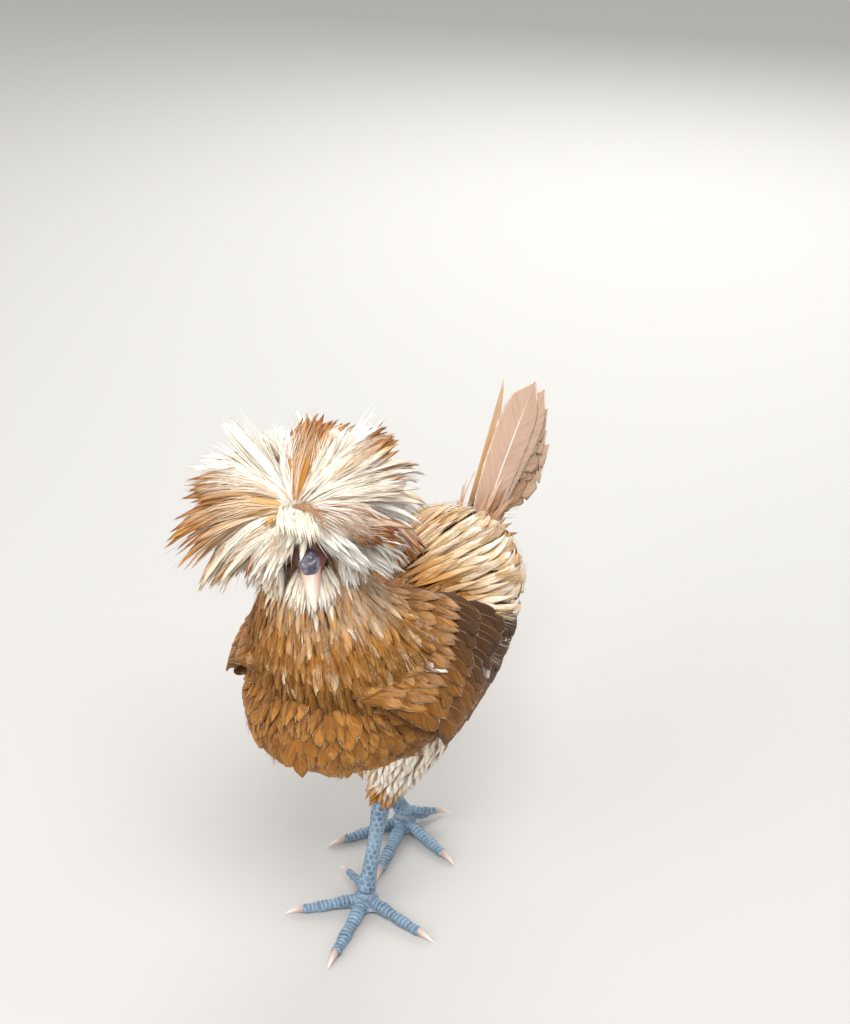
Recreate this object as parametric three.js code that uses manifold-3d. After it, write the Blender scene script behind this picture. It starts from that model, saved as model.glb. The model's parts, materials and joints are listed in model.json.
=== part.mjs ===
// A crested, bearded cockerel of the buff laced kind, standing in mid-step with its head turned left.
// Millimetres, +Z up. The bird faces -Y, its own left is +X, and the floor is Z = 0.
import * as THREE from "three";
import Module from "manifold-3d";

const wasm = await Module();
wasm.setup();

// Driving sizes
const FINEST = 0.1; // edges and folds smaller than this are left out
const FINEST_FEATHER = 0.15; // the same, on the feathered nodes
const GAP = 0.3; // clearance that two touching pieces keep
const CENTRE_SHIFT = [1.2, -49.5, 0]; // carries the middle of the whole bird's box to X = Y = 0

const HEAD_AT = [-3, -80, 293]; // middle of the skull
const HEAD_TURN = 30; // degrees to the bird's own left
const HEAD_DROP = 26; // degrees that the bill points below level
const HEAD_ROLL = 8; // degrees, its right side down
const EYE_RADIUS = 5.4;
const EYE_AT = [7, 12.2, 3];

const FOOT_LEFT = [8, -45]; // the leading foot
const FOOT_RIGHT = [-3, 34]; // the trailing foot
const HOCK_LEFT = [7, -16, 71];
const HOCK_RIGHT = [-12, 6, 72];

const TAIL_ROOT = [0, 116, 186];
const TAIL_RISE = 46; // degrees above level of the middle pair of tail feathers
const TAIL_LENGTH = 128;

const rad = THREE.MathUtils.degToRad;
const vec = (x, y, z) => new THREE.Vector3(x, y, z);
const UP = vec(0, 0, 1);

// A seeded draw, so that the small variations come out alike each time.
function drawer(seed) {
  let state = seed;
  return (low, high) => {
    state = (state * 1664525 + 1013904223) % 4294967296;
    return low + ((high - low) * state) / 4294967296;
  };
}

// Closed meshes as solids

function solidOf(points, triangles) {
  const made = new wasm.Manifold(
    new wasm.Mesh({
      numProp: 3,
      vertProperties: new Float32Array(points.flatMap((p) => [p.x, p.y, p.z])),
      triVerts: new Uint32Array(triangles.flat()),
    }),
  );
  if (made.volume() >= 0) return made;
  return solidOf(points, triangles.map(([a, b, c]) => [a, c, b]));
}

// Skins a row of rings that all have the same number of points, and closes both ends. The face that starts at
// point number turned is parted along its other diagonal.
function skinned(rings, turned = -1) {
  const sides = rings[0].length;
  const points = rings.flat();
  const triangles = [];
  for (let r = 0; r + 1 < rings.length; r++) {
    for (let i = 0; i < sides; i++) {
      const a = r * sides + i;
      const b = r * sides + ((i + 1) % sides);
      if (i === turned) triangles.push([a, b, a + sides], [b, b + sides, a + sides]);
      else triangles.push([a, b, b + sides], [a, b + sides, a + sides]);
    }
  }
  [0, rings.length - 1].forEach((r, last) => {
    if (sides < 6) {
      for (let i = 1; i + 1 < sides; i++) {
        const [a, b, c] = [r * sides, r * sides + i, r * sides + i + 1];
        triangles.push(last ? [a, b, c] : [a, c, b]);
      }
      return;
    }
    const middle = vec(0, 0, 0);
    rings[r].forEach((p) => middle.addScaledVector(p, 1 / sides));
    points.push(middle);
    for (let i = 0; i < sides; i++) {
      const [a, b, c] = [points.length - 1, r * sides + i, r * sides + ((i + 1) % sides)];
      triangles.push(last ? [a, b, c] : [a, c, b]);
    }
  });
  return solidOf(points, triangles);
}

const unite = (solids) => wasm.Manifold.union(solids);

function largest(solid) {
  const bodies = solid.decompose();
  return bodies.reduce((a, b) => (b.volume() > a.volume() ? b : a));
}

// A smooth value through evenly spaced keys, for t from 0 to 1.
function through(keys, t) {
  const at = Math.min(Math.max(t, 0), 1) * (keys.length - 1);
  const i = Math.min(Math.floor(at), keys.length - 2);
  const f = at - i;
  const k = (n) => keys[Math.min(Math.max(n, 0), keys.length - 1)];
  const [a, b, c, d] = [k(i - 1), k(i), k(i + 1), k(i + 2)];
  return (
    b +
    0.5 * f * (c - a + f * (2 * a - 5 * b + 4 * c - d + f * (3 * (b - c) + d - a)))
  );
}

// The same, through keys that stand at uneven places.
function along(places, keys, at) {
  let i = 0;
  while (i + 2 < places.length && at > places[i + 1]) i++;
  const f = (at - places[i]) / (places[i + 1] - places[i]);
  return through(keys, (i + f) / (keys.length - 1));
}

// The trunk: level sections across Y, from the breast to the root of the tail

const TRUNK = {
  y: [-113, -106, -88, -60, -28, 8, 44, 78, 106, 126, 138],
  top: [172, 196, 215, 227, 229, 225, 219, 212, 204, 196, 187],
  bottom: [168, 154, 139, 125, 117, 114, 118, 130, 146, 162, 174],
  half: [2, 29, 47, 60, 63, 60, 57, 52, 42, 28, 14],
};
const TRUNK_SIDES = 20;
const TRUNK_RINGS = 12;
const WIDEST = 0.46; // share of the height at which the trunk is widest

// A point on the trunk and the way out of it. s runs from 0 at the breast to 1 at the tail, and angle from 0
// at the bird's left through 90 at the back.
function trunkPoint(s, angle, lift = 0) {
  const at = (share, turn) => {
    const y = THREE.MathUtils.lerp(TRUNK.y[0], TRUNK.y[TRUNK.y.length - 1], share);
    const [top, bottom, half] = ["top", "bottom", "half"].map((k) => along(TRUNK.y, TRUNK[k], y));
    const middle = bottom + (top - bottom) * WIDEST;
    const rise = Math.sin(rad(turn)) > 0 ? top - middle : middle - bottom;
    return vec(half * Math.cos(rad(turn)), y, middle + rise * Math.sin(rad(turn)));
  };
  const here = at(s, angle);
  const step = 0.01;
  const back = at(Math.min(s + step, 1), angle).sub(at(Math.max(s - step, 0), angle));
  const round = at(s, angle + 2).sub(at(s, angle - 2));
  const out = back.cross(round).normalize();
  return { p: here.addScaledVector(out, lift), n: out };
}

// Moves a point out of the trunk, where it lies in it or too close to it.
function offTrunk(p, margin) {
  const [front, rear] = [TRUNK.y[0] + 6, TRUNK.y[TRUNK.y.length - 1] - 6];
  const y = Math.min(Math.max(p.y, front), rear);
  const [top, bottom, half] = ["top", "bottom", "half"].map((k) => along(TRUNK.y, TRUNK[k], y));
  const middle = bottom + (top - bottom) * WIDEST;
  const rise = p.z > middle ? top - middle : middle - bottom;
  const share = Math.hypot(p.x / half, (p.z - middle) / rise);
  const least = 1 + margin / Math.min(half, rise);
  if (share >= least || p.y !== y) return p;
  return vec((p.x * least) / share, p.y, middle + ((p.z - middle) * least) / share);
}

function trunkSolid(grow = 0) {
  const rings = [];
  for (let r = 0; r <= TRUNK_RINGS; r++) {
    const s = 0.5 - 0.5 * Math.cos((Math.PI * r) / TRUNK_RINGS);
    const ring = [];
    for (let i = 0; i < TRUNK_SIDES; i++) ring.push(trunkPoint(s, (360 * i) / TRUNK_SIDES, grow).p);
    rings.push(ring);
  }
  return skinned(rings);
}

// Upright bodies, such as the neck: rings that each have a centre and reach to the front, back and side

function ringsAlong(keys, count, sides, grow = 0) {
  const rings = [];
  for (let r = 0; r < count; r++) {
    const t = r / (count - 1);
    const get = (name) => through(keys.map((k) => k[name]), t);
    const tilt = rad(get("tilt"));
    const ahead = vec(0, -Math.cos(tilt), -Math.sin(tilt));
    const middle = vec(get("x"), get("y"), get("z"));
    middle.addScaledVector(ahead.clone().cross(vec(1, 0, 0)), r === 0 ? -grow : r === count - 1 ? grow : 0);
    const ring = [];
    for (let i = 0; i < sides; i++) {
      const turn = (2 * Math.PI * i) / sides;
      const reach = Math.sin(turn) > 0 ? get("front") : get("back");
      ring.push(
        middle
          .clone()
          .addScaledVector(vec(1, 0, 0), (get("side") + grow) * Math.cos(turn))
          .addScaledVector(ahead, (reach + grow) * Math.sin(turn)),
      );
    }
    rings.push(ring);
  }
  return rings;
}

const NECK = [
  { x: 0, y: -42, z: 186, tilt: 22, side: 50, front: 56, back: 40 },
  { x: 0, y: -50, z: 207, tilt: 18, side: 59, front: 58, back: 40 },
  { x: 0, y: -61, z: 229, tilt: 12, side: 49, front: 44, back: 33 },
  { x: -1, y: -69, z: 249, tilt: 6, side: 38, front: 31, back: 28 },
  { x: -2, y: -75, z: 267, tilt: 0, side: 27, front: 20, back: 25 },
  { x: -2, y: -74, z: 288, tilt: 0, side: 17, front: 8, back: 24 },
];
const NECK_SIDES = 18;

function neckSolid(grow = 0) {
  return skinned(ringsAlong(NECK, 8, NECK_SIDES, grow));
}

// A point on the neck: s from 0 at the shoulders to 1 at the skull, and angle from 0 at the bird's left
// through 90 at the throat.
function neckPoint(s, angle, lift = 0) {
  const at = (share, turn) => {
    const get = (name) => through(NECK.map((k) => k[name]), share);
    const tilt = rad(get("tilt"));
    const reach = Math.sin(rad(turn)) > 0 ? get("front") : get("back");
    return vec(get("x"), get("y"), get("z"))
      .addScaledVector(vec(1, 0, 0), get("side") * Math.cos(rad(turn)))
      .addScaledVector(vec(0, -Math.cos(tilt), -Math.sin(tilt)), reach * Math.sin(rad(turn)));
  };
  const here = at(s, angle);
  const rising = at(Math.min(s + 0.02, 1), angle).sub(at(Math.max(s - 0.02, 0), angle));
  const round = at(s, angle + 2).sub(at(s, angle - 2));
  const out = rising.cross(round).normalize();
  return { p: here.addScaledVector(out, lift), n: out };
}

// Feathers: flat vanes along a spine of points, each with the way that its face looks

const OUTLINES = {
  lobed: [0.36, 0.78, 1, 0.96, 0.72, 0.16], // crest, beard and muffs
  round: [0.3, 0.72, 0.95, 1, 0.9, 0.5], // flight and tail feathers and their coverts
  pointed: [0.34, 0.8, 1, 0.86, 0.56, 0.12], // hackles and saddle feathers
};

// Both faces of a vane are parted along the same diagonals, so that a twisted one doesn't cross itself.
function vane({ spine, width, thick = 0.9, outline = "round", tilt = 0, grow = 0 }) {
  const count = spine.length;
  const rings = spine.map(({ p, n }, i) => {
    const before = spine[Math.max(i - 1, 0)].p;
    const after = spine[Math.min(i + 1, count - 1)].p;
    const ahead = after.clone().sub(before).normalize();
    const side = n.clone().cross(ahead).normalize().applyAxisAngle(ahead, rad(tilt));
    const face = ahead.clone().cross(side).normalize();
    const t = i / (count - 1);
    const half = (width / 2) * through(OUTLINES[outline], t) + grow;
    const deep = (thick / 2) * (1 - 0.35 * t) + grow;
    const middle = p.clone();
    if (i === count - 1) middle.addScaledVector(ahead, grow);
    const corner = (across, out) =>
      middle.clone().addScaledVector(side, across).addScaledVector(face, out);
    return [corner(half, -deep), corner(half, deep), corner(-half, deep), corner(-half, -deep)];
  });
  return skinned(rings, 3);
}

// A spine that leaves a root in one direction, and bends towards another as it goes.
function bentSpine(root, way, length, droop, down, face, steps) {
  const spine = [];
  for (let i = 0; i <= steps; i++) {
    const t = i / steps;
    const p = root
      .clone()
      .addScaledVector(way, length * t)
      .addScaledVector(down, length * droop * t * t);
    const ahead = way.clone().addScaledVector(down, 2 * droop * t);
    const n = face.clone().addScaledVector(ahead, -face.dot(ahead) / ahead.lengthSq()).normalize();
    spine.push({ p, n });
  }
  return spine;
}

// A spine laid on a surface from one place to another. Its lifts off the surface are spaced evenly along it.
function laidSpine(surface, from, to, lifts, steps = 3) {
  const spine = [];
  for (let i = 0; i <= steps; i++) {
    const t = i / steps;
    const s = THREE.MathUtils.lerp(from[0], to[0], t);
    const angle = THREE.MathUtils.lerp(from[1], to[1], t);
    spine.push(surface(s, angle, through(lifts, t)));
  }
  return spine;
}

// The head, in its own frame: X to the bill, Y to the bird's left, Z to the crown

const headFrame = new THREE.Matrix4()
  .makeBasis(vec(0, -1, 0), vec(1, 0, 0), vec(0, 0, 1))
  .multiply(new THREE.Matrix4().makeRotationZ(rad(HEAD_TURN)))
  .multiply(new THREE.Matrix4().makeRotationY(rad(HEAD_DROP)))
  .multiply(new THREE.Matrix4().makeRotationX(rad(HEAD_ROLL)))
  .setPosition(...HEAD_AT);

const onHead = (x, y, z) => vec(x, y, z).applyMatrix4(headFrame);
const headWay = (x, y, z) => vec(x, y, z).transformDirection(headFrame);
const placedOnHead = (solid) => solid.transform(headFrame.elements);

// Rings across X with a half-width, a rise and a drop about a middle height.
function longRings(keys, count, sides, grow = 0) {
  const rings = [];
  for (let r = 0; r < count; r++) {
    const t = r / (count - 1);
    const get = (name) => through(keys.map((k) => k[name]), t);
    const end = r === 0 ? -grow : r === count - 1 ? grow : 0;
    const ring = [];
    for (let i = 0; i < sides; i++) {
      const turn = (2 * Math.PI * i) / sides;
      const reach = (Math.sin(turn) > 0 ? get("rise") : get("drop")) + grow;
      const wide = get("half") + grow;
      ring.push(vec(get("x") + end, wide * Math.cos(turn), get("z") + reach * Math.sin(turn)));
    }
    rings.push(ring);
  }
  return rings;
}

const SKULL = [
  { x: -23, z: 0, half: 2, rise: 3, drop: 3 },
  { x: -20, z: 0, half: 9, rise: 9, drop: 9 },
  { x: -11, z: 0, half: 13.5, rise: 14, drop: 13 },
  { x: 0, z: 0, half: 14.2, rise: 15, drop: 14 },
  { x: 10, z: 0, half: 12.2, rise: 12.5, drop: 12 },
  { x: 19, z: 0, half: 8.4, rise: 8, drop: 9 },
  { x: 25, z: -1, half: 5.6, rise: 4, drop: 6 },
];
const LID_RING = 1.5; // how far the rim of the lids stands round the eye

function ball(centre, radius, sides = 14, rows = 8, stretch = [1, 1, 1]) {
  const rings = [];
  for (let r = 0; r <= rows; r++) {
    const tilt = Math.PI * Math.min(Math.max(r / rows, 0.04), 0.96);
    const ring = [];
    for (let i = 0; i < sides; i++) {
      const turn = (2 * Math.PI * i) / sides;
      ring.push(
        vec(
          centre[0] + radius * stretch[0] * Math.sin(tilt) * Math.cos(turn),
          centre[1] + radius * stretch[1] * Math.sin(tilt) * Math.sin(turn),
          centre[2] + radius * stretch[2] * Math.cos(tilt),
        ),
      );
    }
    rings.push(ring);
  }
  return skinned(rings);
}

const eyeCentre = (side) => [EYE_AT[0], side * EYE_AT[1], EYE_AT[2]];
const eyeSolid = (side, grow = 0) => placedOnHead(ball(eyeCentre(side), EYE_RADIUS + grow, 12, 6));

// The rim of both lids: a flat ring about the eye, which the eyeball then bites into.
function lidsSolid(side, grow = 0) {
  const [x, y, z] = eyeCentre(side);
  const rings = [0, 1, 2].map((r) => {
    const out = y + side * (1 + r * (1.8 + grow));
    const wide = EYE_RADIUS + LID_RING - r * r * 0.6 + grow;
    const ring = [];
    for (let i = 0; i < 12; i++) {
      const turn = (2 * Math.PI * i) / 12;
      ring.push(vec(x + wide * 1.12 * Math.cos(turn), out, z + wide * 0.86 * Math.sin(turn)));
    }
    return ring;
  });
  return placedOnHead(skinned(rings));
}

function combHorn(side, grow = 0) {
  const rings = [0, 1, 2].map((r) => {
    const t = r / 2;
    const half = 2.4 * (1 - t) + 0.5 + grow;
    const ring = [];
    for (let i = 0; i < 6; i++) {
      const turn = (2 * Math.PI * i) / 6;
      ring.push(
        vec(
          15 - 2 * t + half * Math.cos(turn),
          side * (2.6 + 3.2 * t) + half * 0.8 * Math.sin(turn),
          8 + (8.5 + grow) * t,
        ),
      );
    }
    return ring;
  });
  return placedOnHead(skinned(rings));
}

function headSolid(grow = 0) {
  return unite([
    placedOnHead(skinned(longRings(SKULL, 9, 16, grow))),
    ...[1, -1].flatMap((side) => [lidsSolid(side, grow), combHorn(side, grow)]),
  ]);
}

// The bill: an upper half that hooks over the lower one, and the raised, slate, wide-nostrilled base above it

const UPPER_BILL = [
  { x: 17, z: 1, half: 6.6, rise: 4.2, drop: 3.6 },
  { x: 24, z: 0.4, half: 5.6, rise: 4.0, drop: 3.2 },
  { x: 31, z: -0.9, half: 4.3, rise: 3.5, drop: 2.2 },
  { x: 38, z: -3.2, half: 2.9, rise: 2.8, drop: 1.5 },
  { x: 43, z: -6.6, half: 1.3, rise: 1.6, drop: 1.2 },
  { x: 44.5, z: -9.4, half: 0.4, rise: 0.5, drop: 0.5 },
];
const LOWER_BILL = [
  { x: 17, z: -6.6, half: 5.6, rise: 2.2, drop: 2.6 },
  { x: 26, z: -6.2, half: 4.6, rise: 2.2, drop: 2.2 },
  { x: 34, z: -6.6, half: 3.2, rise: 1.8, drop: 1.8 },
  { x: 39.5, z: -7.6, half: 1.4, rise: 0.9, drop: 1.1 },
];
const NOSTRIL_BASE = [
  { x: 14, z: 4, half: 4, rise: 3, drop: 3 },
  { x: 18, z: 4.6, half: 6.2, rise: 5.6, drop: 4.4 },
  { x: 23, z: 4, half: 6.2, rise: 5.4, drop: 4.2 },
  { x: 28, z: 2.6, half: 4.6, rise: 3.4, drop: 3 },
  { x: 30.5, z: 1.6, half: 2, rise: 1.6, drop: 1.6 },
];

const upperBill = (grow = 0) => placedOnHead(skinned(longRings(UPPER_BILL, 7, 10, grow)));
const lowerBill = (grow = 0) => placedOnHead(skinned(longRings(LOWER_BILL, 4, 8, grow)));

function nostrilBase(grow = 0) {
  const slit = (side) => ball([24.5, side * 5.6, 5.2], 1.5, 8, 4, [2, 1, 0.8]);
  const bulb = skinned(longRings(NOSTRIL_BASE, 6, 12, grow));
  return placedOnHead(grow ? bulb : bulb.subtract(slit(1)).subtract(slit(-1)));
}

// The crest: a cushion on the crown, parted into four nodes, with long feathers that burst from it

const CREST_CENTRE = [-3, 0, 12];
const CREST_CUSHION = 24; // reach of the cushion to the side
const CREST_ROWS = [
  { rise: -20, count: 15, length: 52, width: 12.5, droop: 0.3, behind: 95 },
  { rise: -6, count: 15, length: 56, width: 12.5, droop: 0.3 },
  { rise: 7, count: 15, length: 58, width: 12.5, droop: 0.27 },
  { rise: 20, count: 15, length: 57, width: 12.5, droop: 0.23 },
  { rise: 34, count: 14, length: 54, width: 12, droop: 0.18 },
  { rise: 48, count: 12, length: 50, width: 11, droop: 0.13 },
  { rise: 63, count: 8, length: 46, width: 10, droop: 0.08 },
  { rise: 79, count: 5, length: 42, width: 8, droop: 0.03 },
];
const CREST_SHORTEST = 21; // feathers shorter than this stay inside the cushion, and are left out
const CREST_PARTS = { front: [-42, 42], left: [42, 128], back: [128, 232], right: [232, 318] };

// How far the crest reaches at a bearing and a rise: it is shortest low over the bill.
function crestReach(bearing, rise = 0) {
  const ahead = Math.max(Math.cos(rad(bearing)), 0) ** 1.5;
  return 1 - ahead * (0.74 - 0.5 * Math.min(Math.max(rise / 45, 0), 1));
}

function crestWedge([from, to], radius, low, high) {
  const outline = [vec(0, 0, 0)];
  const steps = 6;
  for (let i = 0; i <= steps; i++) {
    const turn = rad(THREE.MathUtils.lerp(from, to, i / steps));
    outline.push(vec(radius * Math.cos(turn), radius * Math.sin(turn), 0));
  }
  const lift = (z) => outline.map((p) => vec(p.x + CREST_CENTRE[0], p.y, p.z + z));
  return skinned([lift(low), lift(high)]);
}

// A dome over the crown. Its rim droops a little below its centre, and it is short over the bill.
function crestDome(reach, height, drop, grow) {
  const rings = [-80, -30, 8, 40, 72].map((rise) => {
    const ring = [];
    const sides = 16;
    for (let i = 0; i < sides; i++) {
      const bearing = (360 * i) / sides;
      const out = (reach * Math.max(crestReach(bearing, 10), 0.5) + grow) * Math.cos(rad(rise));
      const up = (rise > 0 ? height : drop) * Math.sin(rad(rise)) + Math.sign(rise) * grow;
      const place = vec(...CREST_CENTRE);
      ring.push(place.add(vec(out * Math.cos(rad(bearing)), out * Math.sin(rad(bearing)), up)));
    }
    return ring;
  });
  return skinned(rings);
}

function crestFeathers(name, grow = 0) {
  const [from, to] = CREST_PARTS[name];
  const draw = drawer(75 + from);
  const made = [];
  CREST_ROWS.forEach((row, r) => {
    for (let i = 0; i < row.count; i++) {
      const bearing = (360 * (i + 0.5 * (r % 2))) / row.count;
      const inside = [bearing, bearing + 360].some((b) => b >= from && b < to);
      if (!inside) continue;
      const turned = bearing + draw(-2, 2);
      const rise = row.rise + draw(-1.5, 1.5);
      const way = headWay(
        Math.cos(rad(rise)) * Math.cos(rad(turned)),
        Math.cos(rad(rise)) * Math.sin(rad(turned)),
        Math.sin(rad(rise)),
      );
      const reach = Math.max(crestReach(bearing, row.rise), 0.5);
      const root = onHead(...CREST_CENTRE).addScaledVector(way, CREST_CUSHION * 0.6 * reach);
      const length = row.length * crestReach(bearing, row.rise) * draw(0.92, 1.08);
      const fromFront = Math.abs(((bearing + 180) % 360) - 180);
      if (length < CREST_SHORTEST || fromFront < (row.behind ?? 0)) continue;
      const out = headWay(Math.cos(rad(turned)) * 0.4, Math.sin(rad(turned)) * 0.4, 1);
      const droop = row.droop * (1 + 0.5 * Math.max(-Math.cos(rad(bearing)), 0));
      const spine = bentSpine(root, way, length, droop, vec(0, 0, -1), out, 3);
      made.push(vane({ spine, width: row.width * draw(0.9, 1.06), thick: 1, outline: "lobed", grow }));
    }
  });
  return made;
}

function crestPart(name, grow = 0) {
  const wedge = crestWedge(CREST_PARTS[name], 130, -60, 110);
  const dome = crestDome(CREST_CUSHION, CREST_CUSHION * 0.85, 9, grow);
  const cushion = placedOnHead(dome.intersect(wedge));
  return unite([cushion, ...crestFeathers(name, grow)]);
}

// The beard and the muffs: soft locks under the bill and over the cheeks

const RUFF = {
  beard: { at: [13, 0, -13], size: [15, 15, 10], around: [-62, 62], rows: 3, across: 5, length: 22 },
  muff_left: { at: [4, 15, -8], size: [14, 11, 12], around: [5, 165], rows: 3, across: 4, length: 22 },
  muff_right: { at: [4, -15, -8], size: [14, 11, 12], around: [-165, -5], rows: 3, across: 4, length: 22 },
};

function ruffPart(name, grow = 0) {
  const { at, size, around, rows, across, length } = RUFF[name];
  const core = placedOnHead(
    ball(at, 1, 8, 5, size.map((v) => v + grow)),
  );
  const draw = drawer(name.length * 77);
  const made = [core];
  for (let r = 0; r < rows; r++) {
    for (let i = 0; i < across; i++) {
      const share = (i + 0.5 * (r % 2) + 0.25) / across;
      const bearing = THREE.MathUtils.lerp(around[0], around[1], share) + draw(-3, 3);
      const rise = 24 - r * 34 + draw(-2, 2);
      const way = vec(
        Math.cos(rad(rise)) * Math.cos(rad(bearing)),
        Math.cos(rad(rise)) * Math.sin(rad(bearing)),
        Math.sin(rad(rise)),
      );
      const root = onHead(
        at[0] + size[0] * 0.6 * way.x,
        at[1] + size[1] * 0.6 * way.y,
        at[2] + size[2] * 0.6 * way.z,
      );
      const out = headWay(way.x, way.y, way.z);
      const lie = out.clone().multiplyScalar(0.75).addScaledVector(UP, -0.55).normalize();
      const spine = bentSpine(root, lie, length * draw(0.85, 1.1), 0.4, vec(0, 0, -1), out, 3);
      made.push(vane({ spine, width: 10 * draw(0.88, 1.1), thick: 1.2, outline: "lobed", grow }));
    }
  }
  return unite(made);
}

// The hackle: pointed feathers in rows down the neck, their tips over the shoulders

const HACKLE_ROWS = [
  { from: 0.98, to: 0.62, count: 9, nape: true },
  { from: 0.82, to: 0.45, count: 8 },
  { from: 0.66, to: 0.27, count: 9 },
  { from: 0.5, to: 0.15, count: 11 },
];
const HACKLE_LIFTS = [-3.4, 2, 3.4, 4.6];

function neckPart(grow = 0) {
  const draw = drawer(7);
  const made = [neckSolid(grow)];
  const surface = (s, angle, lift) => {
    const { p, n } = neckPoint(s, angle, lift);
    return { p: lift > 0 ? offTrunk(p, 1.6) : p, n };
  };
  HACKLE_ROWS.forEach((row, r) => {
    for (let i = 0; i < row.count; i++) {
      const angle = (360 * (i + 0.5 * (r % 2))) / row.count + draw(-2, 2);
      if (row.nape && angle > 10 && angle < 170) continue;
      const to = [row.to + draw(-0.03, 0.03), angle + draw(-3, 3)];
      const spine = laidSpine(surface, [row.from, angle], to, HACKLE_LIFTS);
      made.push(vane({ spine, width: 15 * draw(0.9, 1.1), thick: 1.2, outline: "pointed", grow }));
    }
  });
  return unite(made);
}

// The wings: an arm against the trunk, and flight feathers and coverts in tiers

// Each tier runs from its front feather to its rear one: where the feathers start and end on the trunk, as a
// share along it and a bearing round it.
const PRIMARIES = {
  roots: [[0.3, -4], [0.5, 6]],
  tips: [[0.5, -58], [0.68, -32]],
  count: 4,
  width: 15,
  lifts: [0.5, 2, 4.5, 8],
};
const SECONDARIES = {
  roots: [[0.19, 14], [0.53, 32]],
  tips: [[0.37, -38], [0.73, -2]],
  count: 11,
  width: 19,
  lifts: [1, 4, 5.6, 7],
};
const GREATER_COVERTS = {
  roots: [[0.16, 24], [0.47, 42]],
  tips: [[0.27, -10], [0.6, 14]],
  count: 9,
  width: 18.5,
  lifts: [2, 7, 8.2, 8.8],
};
const MEDIAN_COVERTS = {
  roots: [[0.12, 38], [0.4, 58]],
  tips: [[0.2, 6], [0.49, 31]],
  count: 7,
  width: 19,
  lifts: [2, 9, 10.2, 10.6],
};
const WING_TIERS = [PRIMARIES, SECONDARIES, GREATER_COVERTS, MEDIAN_COVERTS];
const WING_TILT = 12; // degrees that each feather leans, so that it lies like a slat over the next

// A shallow swelling that lies on the trunk, between two places along it and about a bearing round it.
function swelling({ s, bearing, half, depth, count, sides }, grow) {
  const rings = [];
  for (let r = 0; r < count; r++) {
    const t = r / (count - 1);
    const round = Math.sqrt(Math.max(1 - (2 * t - 1) ** 2, 0.03));
    const place = THREE.MathUtils.lerp(s[0] - grow / 200, s[1] + grow / 200, t);
    const middle = THREE.MathUtils.lerp(bearing[0], bearing[1], t);
    const wide = half * round + grow * 1.2;
    const ring = [];
    for (let i = 0; i < sides; i++) {
      const turn = (2 * Math.PI * i) / sides;
      const lift = depth * round * Math.sin(turn) + grow * Math.sign(Math.sin(turn) + 0.01);
      ring.push(trunkPoint(place, middle + wide * Math.cos(turn), lift).p);
    }
    rings.push(ring);
  }
  return skinned(rings);
}

const WING_ARM = { s: [0.09, 0.56], bearing: [24, 40], half: 34, depth: 7, count: 6, sides: 8 };

function wingPart(side, grow = 0) {
  const made = [swelling(WING_ARM, grow)];
  WING_TIERS.forEach(({ roots, tips, count, width, lifts }, k) => {
    const draw = drawer(300 + k + side);
    for (let i = 0; i < count; i++) {
      const share = i / (count - 1);
      const between = ([a, b]) => [0, 1].map((axis) => THREE.MathUtils.lerp(a[axis], b[axis], share));
      const to = between(tips);
      to[0] += draw(-0.006, 0.006);
      to[1] += draw(-2, 2);
      const spine = laidSpine(trunkPoint, between(roots), to, lifts);
      made.push(vane({ spine, width, thick: 1, outline: "round", tilt: WING_TILT, grow }));
    }
  });
  const wing = unite(made);
  return side > 0 ? wing : wing.mirror([1, 0, 0]);
}

// The saddle: long, narrow feathers that fall from the rump over the tail's root and the flanks

const SADDLE_ROWS = [
  { from: 0.45, to: 0.73, count: 8 },
  { from: 0.56, to: 0.85, count: 9 },
  { from: 0.67, to: 0.94, count: 8 },
];
const SADDLE_LIFTS = [1, 6, 8, 10.5];

const SADDLE_CORE = { s: [0.54, 0.86], bearing: [90, 90], half: 76, depth: 6.5, count: 7, sides: 12 };

function saddlePart(grow = 0) {
  const draw = drawer(91);
  const made = [swelling(SADDLE_CORE, grow)];
  SADDLE_ROWS.forEach((row) => {
    for (let i = 0; i < row.count; i++) {
      const share = ((i + 0.5) / row.count) * 2 - 1;
      const to = [row.to - 0.05 * Math.abs(share) + draw(-0.015, 0.015), 90 - 118 * share + draw(-2, 2)];
      const spine = laidSpine(trunkPoint, [row.from, 90 - 72 * share], to, SADDLE_LIFTS);
      made.push(vane({ spine, width: 16, thick: 1.1, outline: "pointed", grow }));
    }
  });
  return unite(made);
}

// The tail: two rows of broad feathers that lean together like a tent, with coverts at the root

const TAIL_PAIRS = 6;
const TENT_LEAN = 62; // degrees that each side's vanes turn away from the middle
const TAIL_FAN = 5.6; // degrees between one feather and the next
const TAIL_LAYER = 1.7; // how far the feathers of one side lie apart, from the middle pair to the outer one
const TAIL_WIDTH = 33;

// The way up along the tail, the way that a side's vanes face, and the way across them to their outer edge.
function tailAxes(side) {
  const rise = rad(TAIL_RISE);
  const along = vec(0, Math.cos(rise), Math.sin(rise));
  const front = vec(0, -Math.sin(rise), Math.cos(rise));
  const face = front
    .multiplyScalar(Math.cos(rad(TENT_LEAN)))
    .addScaledVector(vec(side, 0, 0), Math.sin(rad(TENT_LEAN)));
  const outward = along.clone().cross(face).multiplyScalar(side);
  return { along, face, outward: outward.x * side > 0 ? outward : outward.negate() };
}

// All the vanes of one side lie in parallel planes, so none runs through another.
function tailFeather(side, { fan, length, width, depth, shift, steps, thick }, grow) {
  const { along, face, outward } = tailAxes(side);
  const way = along
    .multiplyScalar(Math.cos(rad(fan)))
    .addScaledVector(outward, Math.sin(rad(fan)));
  const root = vec(...TAIL_ROOT)
    .addScaledVector(face, -depth)
    .addScaledVector(outward, shift);
  const spine = bentSpine(root, way, length, 0.04, outward, face, steps);
  return vane({ spine, width, thick, outline: "round", grow });
}

// The fleshy root of the tail: how far along it each ring stands, and its half-width and half-height.
const TAIL_CORE = [
  [-16, 7, 8],
  [-4, 11, 12],
  [10, 12, 13],
  [26, 8, 8],
];

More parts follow.
